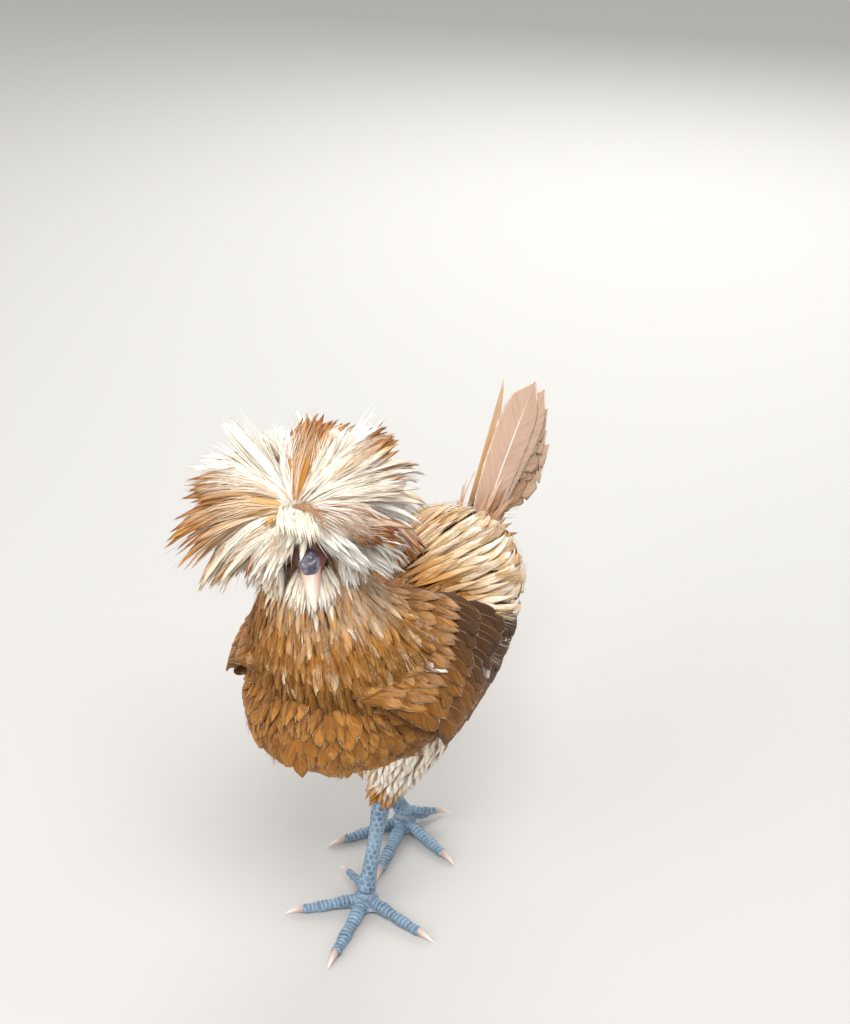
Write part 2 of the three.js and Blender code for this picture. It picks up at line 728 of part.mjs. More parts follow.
function tailCore(grow) {
  const { along } = tailAxes(1);
  const front = vec(0, -along.z, along.y);
  const rings = TAIL_CORE.map(([at, half, high]) => {
    const ring = [];
    for (let i = 0; i < 10; i++) {
      const turn = (2 * Math.PI * i) / 10;
      ring.push(
        vec(...TAIL_ROOT)
          .addScaledVector(along, at)
          .addScaledVector(vec(1, 0, 0), (half + grow) * Math.cos(turn))
          .addScaledVector(front, (high + grow) * Math.sin(turn) - 7),
      );
    }
    return ring;
  });
  return skinned(rings);
}

function tailPart(grow = 0) {
  const made = [tailCore(grow)];
  const draw = drawer(15);
  [1, -1].forEach((side) => {
    for (let k = 0; k < TAIL_PAIRS; k++) {
      const worn = k < 2 ? 1 : 0.9 - 0.06 * (k - 2);
      made.push(
        tailFeather(
          side,
          {
            fan: 2 + TAIL_FAN * k,
            length: TAIL_LENGTH * worn * draw(0.97, 1.03),
            width: TAIL_WIDTH - k,
            depth: 2 + TAIL_LAYER * k,
            shift: TAIL_WIDTH * 0.5,
            steps: 4,
            thick: 1,
          },
          grow,
        ),
      );
    }
    for (let k = 0; k < 4; k++) {
      made.push(
        tailFeather(
          side,
          {
            fan: 5 + 14 * k,
            length: (46 - 4 * k) * draw(0.95, 1.05),
            width: 20,
            depth: -1 - TAIL_LAYER * (3 - k),
            shift: 11,
            steps: 3,
            thick: 1,
          },
          grow,
        ),
      );
    }
  });
  return unite(made);
}

// The legs

function limb(from, to, radii, sides, grow = 0) {
  const axis = to.clone().sub(from);
  const length = axis.length();
  axis.normalize();
  const across = vec(1, 0, 0).addScaledVector(axis, -axis.x).normalize();
  const ahead = axis.clone().cross(across);
  const rings = radii.map(([share, wide, deep, off = 0], r) => {
    const end = r === 0 ? -grow : r === radii.length - 1 ? grow : 0;
    const middle = from
      .clone()
      .addScaledVector(axis, share * length + end)
      .addScaledVector(ahead, off);
    const ring = [];
    for (let i = 0; i < sides; i++) {
      const turn = (2 * Math.PI * i) / sides;
      ring.push(
        middle
          .clone()
          .addScaledVector(across, (wide + grow) * Math.cos(turn))
          .addScaledVector(ahead, (deep + grow) * Math.sin(turn)),
      );
    }
    return ring;
  });
  return skinned(rings);
}

// Each toe's bearing is in degrees from straight ahead, away from the bird's midline.
const LEGS = {
  left: {
    side: 1,
    hip: [29, 4, 136],
    hock: HOCK_LEFT,
    foot: FOOT_LEFT,
    bearings: { inner: -55, middle: 4, outer: 76, hind: -140, upper_hind: -122 },
  },
  right: {
    side: -1,
    hip: [-28, 20, 136],
    hock: HOCK_RIGHT,
    foot: FOOT_RIGHT,
    bearings: { inner: -65, middle: -7, outer: 42, hind: -140, upper_hind: -122 },
  },
};
const PAD_HEIGHT = 12; // where the shank meets the foot
const THIGH_RADII = [
  [0, 22, 30],
  [0.2, 24, 32],
  [0.42, 21, 27],
  [0.64, 17, 20],
  [0.84, 12, 14],
  [1, 9.2, 10.4],
  [1.1, 6.4, 7],
];
const SHANK_RADII = [
  [0, 6.2, 6.8],
  [0.2, 5.6, 6.4],
  [0.4, 4.6, 5.3],
  [0.6, 4.4, 4.9],
  [0.8, 4.9, 5.1],
  [1, 6, 6],
];

const thighPart = ({ hip, hock }, grow = 0) => limb(vec(...hip), vec(...hock), THIGH_RADII, 14, grow);

const SCUTES = 9; // overlapping plates down the front of the shank
const SCUTE_STEP = 0.9;

// The shank, with its plates as steps in its front.
function shankPart({ hock, foot }, grow = 0) {
  const top = vec(...hock);
  const low = vec(foot[0], foot[1], PAD_HEIGHT);
  const axis = low.clone().sub(top);
  const length = axis.length();
  axis.normalize();
  const across = vec(1, 0, 0).addScaledVector(axis, -axis.x).normalize();
  const ahead = axis.clone().cross(across);
  if (ahead.y > 0) ahead.negate();
  const rings = [];
  for (let i = 0; i <= SCUTES; i++) {
    [0, 1].forEach((low) => {
      if ((i === 0 && low) || (i === SCUTES && !low)) return;
      const share = (i + (low ? 0.04 : 0)) / SCUTES;
      const plate = low || i === 0 ? SCUTE_STEP * 0.2 : SCUTE_STEP;
      const [wide, deep] = [1, 2].map((k) => through(SHANK_RADII.map((r) => r[k]), share));
      const end = i === 0 ? -grow : i === SCUTES && low ? grow : 0;
      const middle = top.clone().addScaledVector(axis, share * length + end);
      const ring = [];
      for (let k = 0; k < 8; k++) {
        const turn = (2 * Math.PI * (k + 0.5)) / 8;
        const step = Math.sin(turn) > 0.3 ? plate : 0;
        ring.push(
          middle
            .clone()
            .addScaledVector(across, (wide + grow) * Math.cos(turn))
            .addScaledVector(ahead, (deep + grow) * Math.sin(turn) + step),
        );
      }
      rings.push(ring);
    });
  }
  return skinned(rings);
}

// Toes: a length without the claw, a radius, how much higher the root is, and how high the toe is carried.
const TOES = [
  { name: "inner", length: 41, radius: 4, rise: 0, carried: 0 },
  { name: "middle", length: 50, radius: 4.4, rise: 0, carried: 0 },
  { name: "outer", length: 44, radius: 4, rise: 0, carried: 0 },
  { name: "hind", length: 17, radius: 3.3, rise: 3, carried: 2 },
  { name: "upper_hind", length: 22, radius: 3, rise: 0, carried: 9 },
];
const CLAW = 12;
const SOLE = 0; // level of the flats that the toes stand on

// The middle line of a toe, from inside the pad to its end: low arches between the joints.
function toeLine({ foot, side, bearings }, toe) {
  const bearing = rad(side * bearings[toe.name]);
  const way = vec(Math.sin(bearing), -Math.cos(bearing), 0);
  const start = vec(foot[0], foot[1], 0).addScaledVector(way, 1);
  const points = [];
  for (let i = 0; i <= 7; i++) {
    const t = i / 7;
    const drop = toe.radius * (1 - 0.26 * t);
    const root = (6.5 - drop + toe.rise) * (1 - t) ** 2;
    points.push(
      start
        .clone()
        .addScaledVector(way, toe.length * t)
        .setZ(SOLE + drop * 0.86 + root + toe.carried),
    );
  }
  return { points, way };
}

function toeSolid(leg, toe, grow = 0) {
  const { points, way } = toeLine(leg, toe);
  const across = vec(-way.y, way.x, 0);
  const rings = points.map((p, i) => {
    const t = i / (points.length - 1);
    const knuckle = 1 + 0.1 * Math.cos(2 * Math.PI * t * 3);
    const wide = (toe.radius + grow) * (1 - 0.26 * t) * knuckle;
    const ring = [];
    for (let k = 0; k < 6; k++) {
      const turn = (2 * Math.PI * k) / 6;
      const z = Math.max(p.z + wide * Math.sin(turn), SOLE);
      ring.push(p.clone().addScaledVector(across, wide * Math.cos(turn)).setZ(z));
    }
    return ring;
  });
  return skinned(rings);
}

// The skin between the roots of two neighbouring toes.
function webSolid(leg, a, b) {
  const reach = 15;
  const ends = [a, b].map((toe) => {
    const { points, way } = toeLine(leg, toe);
    return points[0].clone().addScaledVector(way, reach).setZ(3.4);
  });
  const middle = vec(leg.foot[0], leg.foot[1], 3.4);
  const inward = middle.clone().lerp(ends[0].clone().lerp(ends[1], 0.5), 0.62);
  const outline = [middle, ends[0], inward, ends[1]];
  return skinned([0.4, 3.6].map((z) => outline.map((p) => p.clone().setZ(z))));
}

function footPart(leg, grow = 0) {
  const [x, y] = leg.foot;
  const pad = ball([x, y, 5.6], 1, 10, 6, [8 + grow, 8.5 + grow, 6.6 + grow]);
  const made = [pad, ...TOES.map((toe) => toeSolid(leg, toe, grow))];
  made.push(webSolid(leg, TOES[0], TOES[1]), webSolid(leg, TOES[1], TOES[2]));
  const joined = unite(made);
  const block = [SOLE, SOLE + 60].map((z) =>
    [[-90, -90], [90, -90], [90, 90], [-90, 90]].map(([dx, dy]) => vec(x + dx, y + dy, z)),
  );
  return grow ? joined : joined.intersect(skinned(block));
}

function clawPart(leg, toe) {
  const { points, way } = toeLine(leg, toe);
  const tip = points[points.length - 1];
  const radius = toe.radius * 0.62;
  const across = vec(-way.y, way.x, 0);
  const rings = [];
  for (let r = 0; r <= 3; r++) {
    const t = r / 3;
    const wide = radius * (1 - t) ** 0.8 + 0.35;
    const drop = (tip.z - 0.7 - toe.carried * 0.6) * t * t;
    const middle = tip
      .clone()
      .addScaledVector(way, -1.5 + CLAW * t)
      .add(vec(0, 0, 0.6 * (1 - t) - drop));
    const ring = [];
    for (let k = 0; k < 5; k++) {
      const turn = (2 * Math.PI * (k + 0.25)) / 5;
      const z = Math.max(middle.z + wide * Math.sin(turn), SOLE + 0.1);
      ring.push(middle.clone().addScaledVector(across, wide * 0.75 * Math.cos(turn)).setZ(z));
    }
    rings.push(ring);
  }
  return skinned(rings);
}

// Every node, from the one that keeps its whole shape to those that are cut clear of it

const recipes = [
  ["torso", "body_feather", (grow) => trunkSolid(grow)],
  ["eye_left", "eye", (grow) => eyeSolid(1, grow)],
  ["eye_right", "eye", (grow) => eyeSolid(-1, grow)],
  ["head", "face_skin", (grow) => headSolid(grow)],
  ["bill_upper", "bill_horn", (grow) => upperBill(grow)],
  ["bill_lower", "bill_horn", (grow) => lowerBill(grow)],
  ["nostril_base", "face_skin", (grow) => nostrilBase(grow)],
  ["neck", "hackle_feather", (grow) => neckPart(grow)],
  ...Object.keys(RUFF).map((part) => [part, "beard_feather", (grow) => ruffPart(part, grow)]),
  ...Object.keys(CREST_PARTS).map((part) => [
    "crest_" + part,
    "crest_feather",
    (grow) => crestPart(part, grow),
  ]),
  ["tail", "tail_feather", (grow) => tailPart(grow)],
  ["wing_left", "wing_feather", (grow) => wingPart(1, grow)],
  ["wing_right", "wing_feather", (grow) => wingPart(-1, grow)],
  ["saddle", "saddle_feather", (grow) => saddlePart(grow)],
  ...Object.keys(LEGS).flatMap((side) => [
    ["thigh_" + side, "thigh_feather", (grow) => thighPart(LEGS[side], grow)],
    ["foot_" + side, "scale_skin", (grow) => footPart(LEGS[side], grow)],
    ["shank_" + side, "scale_skin", (grow) => shankPart(LEGS[side], grow)],
    ...TOES.map((toe) => [
      "claw_" + toe.name + "_" + side,
      "claw_horn",
      () => clawPart(LEGS[side], toe),
    ]),
  ]),
];

// The finish of each slot: colour, roughness
const FINISHES = {
  body_feather: ["#a8662c", 0.75],
  hackle_feather: ["#b07a40", 0.72],
  crest_feather: ["#efe0c4", 0.8],
  beard_feather: ["#d8c8ac", 0.85],
  tail_feather: ["#c08a60", 0.65],
  wing_feather: ["#9a5c2a", 0.65],
  saddle_feather: ["#d29a5c", 0.7],
  thigh_feather: ["#cdbb9c", 0.85],
  scale_skin: ["#7c9cc4", 0.5],
  face_skin: ["#5a5060", 0.6],
  bill_horn: ["#d9a58c", 0.35],
  claw_horn: ["#e3c3b2", 0.4],
  eye: ["#8c3d16", 0.1],
};

function boxesMeet(a, b) {
  const [p, q] = [a.boundingBox(), b.boundingBox()];
  return [0, 1, 2].every((k) => p.min[k] <= q.max[k] && q.min[k] <= p.max[k]);
}

function meshOf(name, slot, solid) {
  const { numProp, numVert, vertProperties, triVerts } = solid.getMesh();
  const places = new Float32Array(numVert * 3);
  for (let i = 0; i < numVert; i++) {
    places.set(vertProperties.subarray(i * numProp, i * numProp + 3), i * 3);
  }
  const geometry = new THREE.BufferGeometry()
    .setAttribute("position", new THREE.BufferAttribute(places, 3))
    .setIndex(new THREE.BufferAttribute(triVerts, 1));
  geometry.computeVertexNormals();
  const [color, roughness] = FINISHES[slot];
  const material = new THREE.MeshStandardMaterial({ color, roughness, metalness: 0 });
  const mesh = new THREE.Mesh(geometry, material);
  mesh.name = name;
  return mesh;
}

const bird = new THREE.Group();
const kept = [];
for (const [name, slot, make] of recipes) {
  let solid = make(0);
  for (const elder of kept) {
    if (boxesMeet(solid, elder.room)) solid = solid.subtract(elder.room);
  }
  const feathered = slot.endsWith("feather");
  solid = largest(solid.asOriginal().simplify(feathered ? FINEST_FEATHER : FINEST));
  kept.push({ name, room: make(GAP) });
  bird.add(meshOf(name, slot, solid));
}
bird.position.set(...CENTRE_SHIFT);

export default bird;
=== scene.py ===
import json
import math
import random

import bmesh
import bpy
import numpy as np
from mathutils import Matrix, Vector, noise

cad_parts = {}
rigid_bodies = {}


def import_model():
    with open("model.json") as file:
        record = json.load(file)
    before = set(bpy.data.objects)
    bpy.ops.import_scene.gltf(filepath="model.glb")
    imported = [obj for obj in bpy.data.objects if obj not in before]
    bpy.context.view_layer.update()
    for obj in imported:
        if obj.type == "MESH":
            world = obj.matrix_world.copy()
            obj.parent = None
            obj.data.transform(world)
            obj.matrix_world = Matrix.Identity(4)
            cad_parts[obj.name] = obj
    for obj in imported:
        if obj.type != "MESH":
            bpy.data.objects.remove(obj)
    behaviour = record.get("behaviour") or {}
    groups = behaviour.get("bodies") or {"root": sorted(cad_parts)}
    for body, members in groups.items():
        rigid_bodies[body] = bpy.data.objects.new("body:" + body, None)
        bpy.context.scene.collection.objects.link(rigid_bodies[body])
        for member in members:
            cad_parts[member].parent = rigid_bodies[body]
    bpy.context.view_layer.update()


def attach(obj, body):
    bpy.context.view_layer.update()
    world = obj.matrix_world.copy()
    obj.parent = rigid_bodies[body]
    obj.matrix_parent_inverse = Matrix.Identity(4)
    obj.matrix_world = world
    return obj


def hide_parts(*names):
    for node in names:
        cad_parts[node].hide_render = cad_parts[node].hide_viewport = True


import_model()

# A crested, bearded cockerel of the buff laced kind, in mid-step. The shapes are worked out in millimetres in the
# bird's own frame, where it faces -Y, its left is +X and the floor is Z = 0, and are placed in metres.
MM = 0.001
DOUBLES = 1e-6
SHIFT = Vector((1.2, -49.5, 0.0))
UP = Vector((0, 0, 1))
DOWN = Vector((0, 0, -1))

HEAD_AT = (-3, -80, 293)
HEAD_TURN = 30
HEAD_DROP = 26
HEAD_ROLL = 8
EYE_RADIUS = 5.4
EYE_AT = (7, 12.2, 3)

rad = math.radians


def cosd(degrees):
    return math.cos(rad(degrees))


def sind(degrees):
    return math.sin(rad(degrees))


def mix(a, b, t):
    return a + (b - a) * t


def clamp(x, low=0.0, high=1.0):
    return max(low, min(high, x))


def smooth(x, low, high):
    t = clamp((x - low) / (high - low))
    return t * t * (3 - 2 * t)


def through(keys, t):
    """A smooth value through evenly spaced keys, for t from 0 to 1."""
    at = clamp(t) * (len(keys) - 1)
    i = min(int(at), len(keys) - 2)
    f = at - i
    a, b, c, d = (keys[clamp(n, 0, len(keys) - 1)] for n in (i - 1, i, i + 1, i + 2))
    return b + 0.5 * f * (c - a + f * (2 * a - 5 * b + 4 * c - d + f * (3 * (b - c) + d - a)))


def along(places, keys, at):
    """The same for keys at uneven places."""
    i = 0
    while i + 2 < len(places) and at > places[i + 1]:
        i += 1
    f = (at - places[i]) / (places[i + 1] - places[i])
    return through(keys, (i + f) / (len(keys) - 1))


def scatter(draw):
    """A stray way: one that has no direction of its own."""
    return Vector((draw.gauss(0, 1), draw.gauss(0, 1), draw.gauss(0, 1)))


def in_metres(p):
    return (Vector(p) + SHIFT) * MM


def in_millimetres(p):
    return p / MM - SHIFT


# Camera

CAMERA_AT = (368, -728, 726)
CAMERA_DOWN = 29.5
CAMERA_TURN = 25

camera = bpy.data.objects.new("camera", bpy.data.cameras.new("camera"))
bpy.context.scene.collection.objects.link(camera)
camera.data.sensor_width = 36
camera.data.lens = 56.25
camera.location = in_metres(CAMERA_AT)
camera.rotation_euler = (rad(90 - CAMERA_DOWN), 0, rad(CAMERA_TURN))
bpy.context.scene.camera = camera


# The trunk and the neck: the forms that the feathers grow on

TRUNK = {
    "y": (-113, -106, -88, -60, -28, 8, 44, 78, 106, 126, 138),
    "top": (172, 196, 215, 227, 229, 225, 219, 212, 204, 196, 187),
    "bottom": (168, 154, 139, 125, 117, 114, 118, 130, 146, 162, 174),
    "half": (2, 29, 47, 60, 63, 60, 57, 52, 42, 28, 14),
}
WIDEST = 0.46
TRUNK_LENGTH = TRUNK["y"][-1] - TRUNK["y"][0]
SKIN_DEPTH = 2.6


def trunk_section(y):
    top, bottom, half = (along(TRUNK["y"], TRUNK[k], y) for k in ("top", "bottom", "half"))
    return top, bottom, half, bottom + (top - bottom) * WIDEST


def trunk_point(s, angle, lift=0.0):
    """A place on the trunk and the way out of it: s from 0 at the breast to 1 at the tail, angle from 0 at the left
    through 90 at the back."""

    def at(share, turn):
        y = mix(TRUNK["y"][0], TRUNK["y"][-1], share)
        top, bottom, half, middle = trunk_section(y)
        rise = top - middle if sind(turn) > 0 else middle - bottom
        return Vector((half * cosd(turn), y, middle + rise * sind(turn)))

    here = at(s, angle)
    back = at(min(s + 0.01, 1), angle) - at(max(s - 0.01, 0), angle)
    round_ = at(s, angle + 2) - at(s, angle - 2)
    out = back.cross(round_).normalized()
    return here + out * lift, out


def in_trunk(p):
    """How far out of the trunk a point stands, as a share: under 1 is inside."""
    y = clamp(p.y, TRUNK["y"][0] + 1, TRUNK["y"][-1] - 1)
    top, bottom, half, middle = trunk_section(y)
    rise = top - middle if p.z > middle else middle - bottom
    return math.hypot(p.x / half, (p.z - middle) / rise) + abs(p.y - y) / 10


NECK = (
    dict(x=0, y=-42, z=186, tilt=22, side=50, front=56, back=40),
    dict(x=0, y=-50, z=207, tilt=18, side=59, front=58, back=40),
    dict(x=0, y=-61, z=229, tilt=12, side=49, front=44, back=33),
    dict(x=-1, y=-69, z=249, tilt=6, side=38, front=31, back=28),
    dict(x=-2, y=-75, z=267, tilt=0, side=27, front=20, back=25),
    dict(x=-2, y=-74, z=288, tilt=0, side=17, front=8, back=24),
)


def neck_point(s, angle, lift=0.0):
    """A place on the neck: s from 0 at the shoulders to 1 at the skull, angle from 0 at the left through 90 at the
    throat."""

    def at(share, turn):
        get = {k: through([row[k] for row in NECK], share) for k in NECK[0]}
        reach = get["front"] if sind(turn) > 0 else get["back"]
        ahead = Vector((0, -cosd(get["tilt"]), -sind(get["tilt"])))
        side = Vector((get["side"] * cosd(turn), 0, 0))
        return Vector((get["x"], get["y"], get["z"])) + side + ahead * (reach * sind(turn))

    here = at(s, angle)
    rising = at(min(s + 0.02, 1), angle) - at(max(s - 0.02, 0), angle)
    round_ = at(s, angle + 2) - at(s, angle - 2)
    out = rising.cross(round_).normalized()
    return here + out * lift, out


def in_neck(p):
    """The same for the neck."""
    s = clamp((p.z + 0.3 * (p.y + 60) - 183) / 103)
    get = {k: through([row[k] for row in NECK], s) for k in NECK[0]}
    ahead = get["y"] - p.y
    reach = get["front"] if ahead > 0 else get["back"]
    return math.hypot((p.x - get["x"]) / get["side"], ahead / reach) + (1 if p.z > 300 or p.z < 150 else 0)


# The head's own frame: X to the bill, Y to the bird's left, Z to the crown
HEAD = (
    Matrix.Translation(HEAD_AT)
    @ Matrix(((0, 1, 0, 0), (-1, 0, 0, 0), (0, 0, 1, 0), (0, 0, 0, 1)))
    @ Matrix.Rotation(rad(HEAD_TURN), 4, "Z")
    @ Matrix.Rotation(rad(HEAD_DROP), 4, "Y")
    @ Matrix.Rotation(rad(HEAD_ROLL), 4, "X")
)
HEAD_WAYS = HEAD.to_3x3()


def on_head(x, y, z):
    return HEAD @ Vector((x, y, z))


def head_way(x, y, z):
    return HEAD_WAYS @ Vector((x, y, z))


# Meshes from arrays


def piece(name, points, faces, millimetres=True):
    mesh = bpy.data.meshes.new(name)
    if millimetres:
        points = [in_metres(p) for p in points]
    mesh.from_pydata([tuple(p) for p in points], [], faces)
    mesh.polygons.foreach_set("use_smooth", [True] * len(mesh.polygons))
    mesh.update()
    made = bpy.data.objects.new(name, mesh)
    bpy.context.scene.collection.objects.link(made)
    return made


def settle(obj, slot, finish, *nodes):
    """The last calls on a finished piece."""
    if finish:
        obj.data.materials.clear()
        obj.data.materials.append(finish)
    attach(obj, "root")
    if nodes:
        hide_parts(*nodes)
    return obj


def floats(values):
    return np.asarray(values, dtype=np.float32).ravel()


def store(mesh, name, values):
    """A number for each point of a mesh."""
    mesh.attributes.new(name, "FLOAT", "POINT").data.foreach_set("value", floats(values))


def store_ways(mesh, name, values):
    """A vector for each point of a mesh."""
    mesh.attributes.new(name, "FLOAT_VECTOR", "POINT").data.foreach_set("vector", floats(values))


def circle(count):
    """The cosine and sine of each of a count of even steps round a circle."""
    for k in range(count):
        yield math.cos(2 * math.pi * k / count), math.sin(2 * math.pi * k / count)


def loft(rings):
    """Points and faces of a skin over rings of equally many points, with its ends closed."""
    sides = len(rings[0])
    points = [p for ring in rings for p in ring]
    faces = []
    for r in range(len(rings) - 1):
        for i in range(sides):
            a, b = r * sides + i, r * sides + (i + 1) % sides
            faces.append((a, b, b + sides, a + sides))
    faces.append(tuple(reversed(range(sides))))
    faces.append(tuple(range(len(points) - sides, len(points))))
    return points, faces


def outward(mesh, merge=0.0):
    """Turns the faces of a closed mesh out, and merges places that lie nearer than a distance."""
    bm = bmesh.new()
    bm.from_mesh(mesh)
    if merge:
        bmesh.ops.remove_doubles(bm, verts=bm.verts, dist=merge)
    bmesh.ops.recalc_face_normals(bm, faces=bm.faces)
    bm.to_mesh(mesh)
    bm.free()
    mesh.update()


def joined_lofts(name, groups, voxel, smoothing=0):
    """One closed skin over several lofts."""
    points, faces = [], []
    for rings in groups:
        more, own = loft(rings)
        start = len(points)
        points.extend(more)
        faces.extend(tuple(start + i for i in face) for face in own)
    body = piece(name, points, faces)
    outward(body.data, DOUBLES)
    modifier = body.modifiers.new("one skin", "REMESH")
    modifier.mode = "VOXEL"
    modifier.voxel_size = voxel * MM
    modifier.use_smooth_shade = True
    made = bpy.data.meshes.new_from_object(body.evaluated_get(bpy.context.evaluated_depsgraph_get()))
    body.modifiers.clear()
    body.data = made
    if smoothing:
        bm = bmesh.new()
        bm.from_mesh(made)
        for _ in range(smoothing):
            bmesh.ops.smooth_vert(bm, verts=bm.verts, factor=0.5, use_axis_x=True, use_axis_y=True, use_axis_z=True)
        bm.to_mesh(made)
        bm.free()
    return body


# Feather shapes, each drawn flat: across from -1 to 1, along from 0 to 1, and out of the vane

OUTLINES = {
    "body": (0.3, 0.62, 0.86, 1.0, 1.02, 0.9, 0.6, 0.12),
    "flight": (0.26, 0.6, 0.84, 0.95, 1.0, 1.0, 0.9, 0.45),
    "covert": (0.3, 0.66, 0.9, 1.0, 1.0, 0.95, 0.8, 0.4),
    "hackle": (0.3, 0.7, 0.95, 1.0, 0.86, 0.6, 0.34, 0.04),
    "plume": (0.2, 0.5, 0.78, 0.95, 1.0, 0.9, 0.62, 0.1),
    "tail": (0.3, 0.62, 0.82, 0.92, 0.98, 1.0, 0.84, 0.12),
}


class Shape:
    """One feather shape: its points, their place for the bend, and their place on the vane for the finish."""

    def __init__(self):
        self.place, self.vane, self.faces = [], [], []

    def ring(self, rows):
        start = len(self.place)
        for place, vane in rows:
            self.place.append(place)
            self.vane.append(vane)
        return start

    def tube(self, starts, sides):
        for a, b in zip(starts, starts[1:]):
            for i in range(sides):
                j = (i + 1) % sides
                self.faces.append((a + i, a + j, b + j, b + i))
        self.faces.append(tuple(reversed(range(starts[0], starts[0] + sides))))
        self.faces.append(tuple(range(starts[-1], starts[-1] + sides)))

    def vane_web(self, outline, rows, columns, fray, reach, draw, rounding=0.8, gaps=0, slope=0.0):
        """A closed, lens-shaped web with a shaft, ragged at its edges."""
        starts = []
        torn = {draw.randint(rows // 3, rows - 2): draw.uniform(0.35, 0.75) for _ in range(gaps)}
        for r in range(rows + 1):
            t = r / rows
            half = through(outline, t)
            edges = []
            for side in (-1, 1):
                ragged = 1 - fray * draw.random() * smooth(t, 0.1, 0.5)
                if r in torn and side == (1 if r % 2 else -1):
                    ragged *= torn[r]
                edges.append(half * ragged * reach)
            top = []
            for c in range(columns + 1):
                across = -1 + 2 * c / columns
                wide = edges[0] if across < 0 else edges[1]
                rise = 1.25 if abs(across) < 0.01 else 0.6 * (1 - across * across)
                slip = slope * abs(across) * (1 - t) - 0.5 * abs(across) ** 1.6 * fray * draw.random() / rows
                end = max(0.0, (t - rounding) / (1 - rounding))
                rim = min(1.0, math.hypot(across, end))
                top.append(((across * wide, t + slip, rise), (across, t, rim)))
            under = [((x * 0.5, y, -0.5), v) for (x, y, _), v in (top[-2], top[1])]
            starts.append(self.ring(top + under))
        self.tube(starts, columns + 3)

    def barb(self, side, start, end, reach, radius, lift, curl=0.0, steps=2):
        """One loose strand that leaves the shaft, sweeps forward and ends in a point."""
        starts = []
        for i in range(steps + 1):
            w = i / steps
            t = mix(start, end, w)
            across = side * reach * (w ** 0.75) + curl * w * w
            wide = radius * (1 - 0.5 * w)
            out = lift * w * w
            corner = [(across - wide, t, out), (across + wide, t, out), (across, t, out + radius * 14)]
            if i == steps:
                corner = [(across, t, out)]
            starts.append(self.ring([(p, (side * (0.3 + 0.6 * w), t, 0.2 + 0.7 * w)) for p in corner]))
        tip = starts.pop()
        self.faces.append((starts[0] + 2, starts[0] + 1, starts[0]))
        for i in range(3):
            j = (i + 1) % 3
            for a, b in zip(starts, starts[1:]):
                self.faces.append((a + i, a + j, b + j, b + i))
            self.faces.append((starts[-1] + i, starts[-1] + j, tip))

    def loose_barbs(self, count, outline, draw, radius, first=0.1, spread=0.3, lift=1.0, steps=2):
        for k in range(count):
            share = (k + draw.random()) / count
            side = 1 if k % 2 else -1
            start = mix(first, 0.88, share)
            end = min(start + spread * draw.uniform(0.7, 1.2), 1.0 + 0.04 * draw.random())
            reach = through(outline, end) * draw.uniform(0.75, 1.12)
            self.barb(side, start, end, reach, radius * draw.uniform(0.7, 1.2), lift * draw.uniform(-0.6, 1.4),
                      draw.uniform(-0.12, 0.12), steps)

    def build(self, name, collection):
        mesh = bpy.data.meshes.new(name)
        mesh.from_pydata([(x, y, 0.1 * z) for x, y, z in self.place], [], self.faces)
        store_ways(mesh, "place", self.place)
        store_ways(mesh, "vane", self.vane)
        bm = bmesh.new()
        bm.from_mesh(mesh)
        bmesh.ops.recalc_face_normals(bm, faces=bm.faces)
        bmesh.ops.triangulate(bm, faces=[f for f in bm.faces if len(f.verts) > 4])
        bm.to_mesh(mesh)
        bm.free()
        made = bpy.data.objects.new(name, mesh)
        collection.objects.link(made)


def shape_family(name, count, make):
    """A few feather shapes of one kind, each drawn with its own seed."""
    collection = bpy.data.collections.new(name)
    for k in range(count):
        shape = Shape()
        make(shape, random.Random(f"{name} {k}"), k)
        shape.build(f"{name}_{k}", collection)
    return collection


def body_shape(shape, draw, k):
    shape.vane_web(OUTLINES["body"], 6, 4, 0.16, (0.78, 0.86, 0.92)[k % 3], draw)
    shape.loose_barbs(26, OUTLINES["body"], draw, 0.022, 0.2, 0.34, 0.8, steps=1)


def down_shape(shape, draw, k):
    shape.vane_web(OUTLINES["plume"], 3, 2, 0.2, 0.62, draw)
    shape.loose_barbs(22, OUTLINES["plume"], draw, 0.04, 0.02, 0.4, 2.5, steps=1)


def hackle_shape(shape, draw, k):
    shape.vane_web(OUTLINES["hackle"], 5, 2, 0.14, 0.72, draw)
    shape.loose_barbs(30, OUTLINES["hackle"], draw, 0.036, 0.02, 0.34, 0.8, steps=1)


def plume_shape(shape, draw, k):
    shape.vane_web(OUTLINES["plume"], 7, 2, 0.25, (0.4, 0.6, 0.8)[k % 3], draw)
    shape.loose_barbs(12, OUTLINES["plume"], draw, 0.036, 0.02, 0.42, 2.0)
    shape.loose_barbs(20, OUTLINES["plume"], draw, 0.032, 0.1, 0.32, 1.4, steps=1)


def wisp_shape(shape, draw, k):
    """A few hairs side by side, from root to tip."""
    for _ in range(7):
        start, side = draw.uniform(0, 0.2), draw.choice((-1, 1))
        shape.barb(side, start, draw.uniform(0.75, 1.05), draw.uniform(0.1, 1.0), 0.05, draw.uniform(-2, 4),
                   draw.uniform(-0.6, 0.6), steps=3)


def covert_shape(shape, draw, k):
    shape.vane_web(OUTLINES["covert"], 12, 8, 0.05, 0.97, draw, gaps=1)
    shape.loose_barbs(22, OUTLINES["covert"], draw, 0.016, 0.3, 0.24, 0.4, steps=1)


def flight_shape(shape, draw, k):
    shape.vane_web(OUTLINES["flight"], 22, 12, 0.04, 1.0, draw, gaps=1)


def tail_shape(shape, draw, k):
    shape.vane_web(OUTLINES["tail"], 40, 16, 0.012, 1.0, draw, rounding=0.86)
    shape.loose_barbs(14, OUTLINES["tail"], draw, 0.008, 0.6, 0.1, 0.3)


def saddle_shape(shape, draw, k):
    shape.vane_web(OUTLINES["hackle"], 8, 4, 0.12, 0.72, draw, slope=0.1)
    shape.loose_barbs(20, OUTLINES["hackle"], draw, 0.03, 0.1, 0.2, 0.8, steps=1)


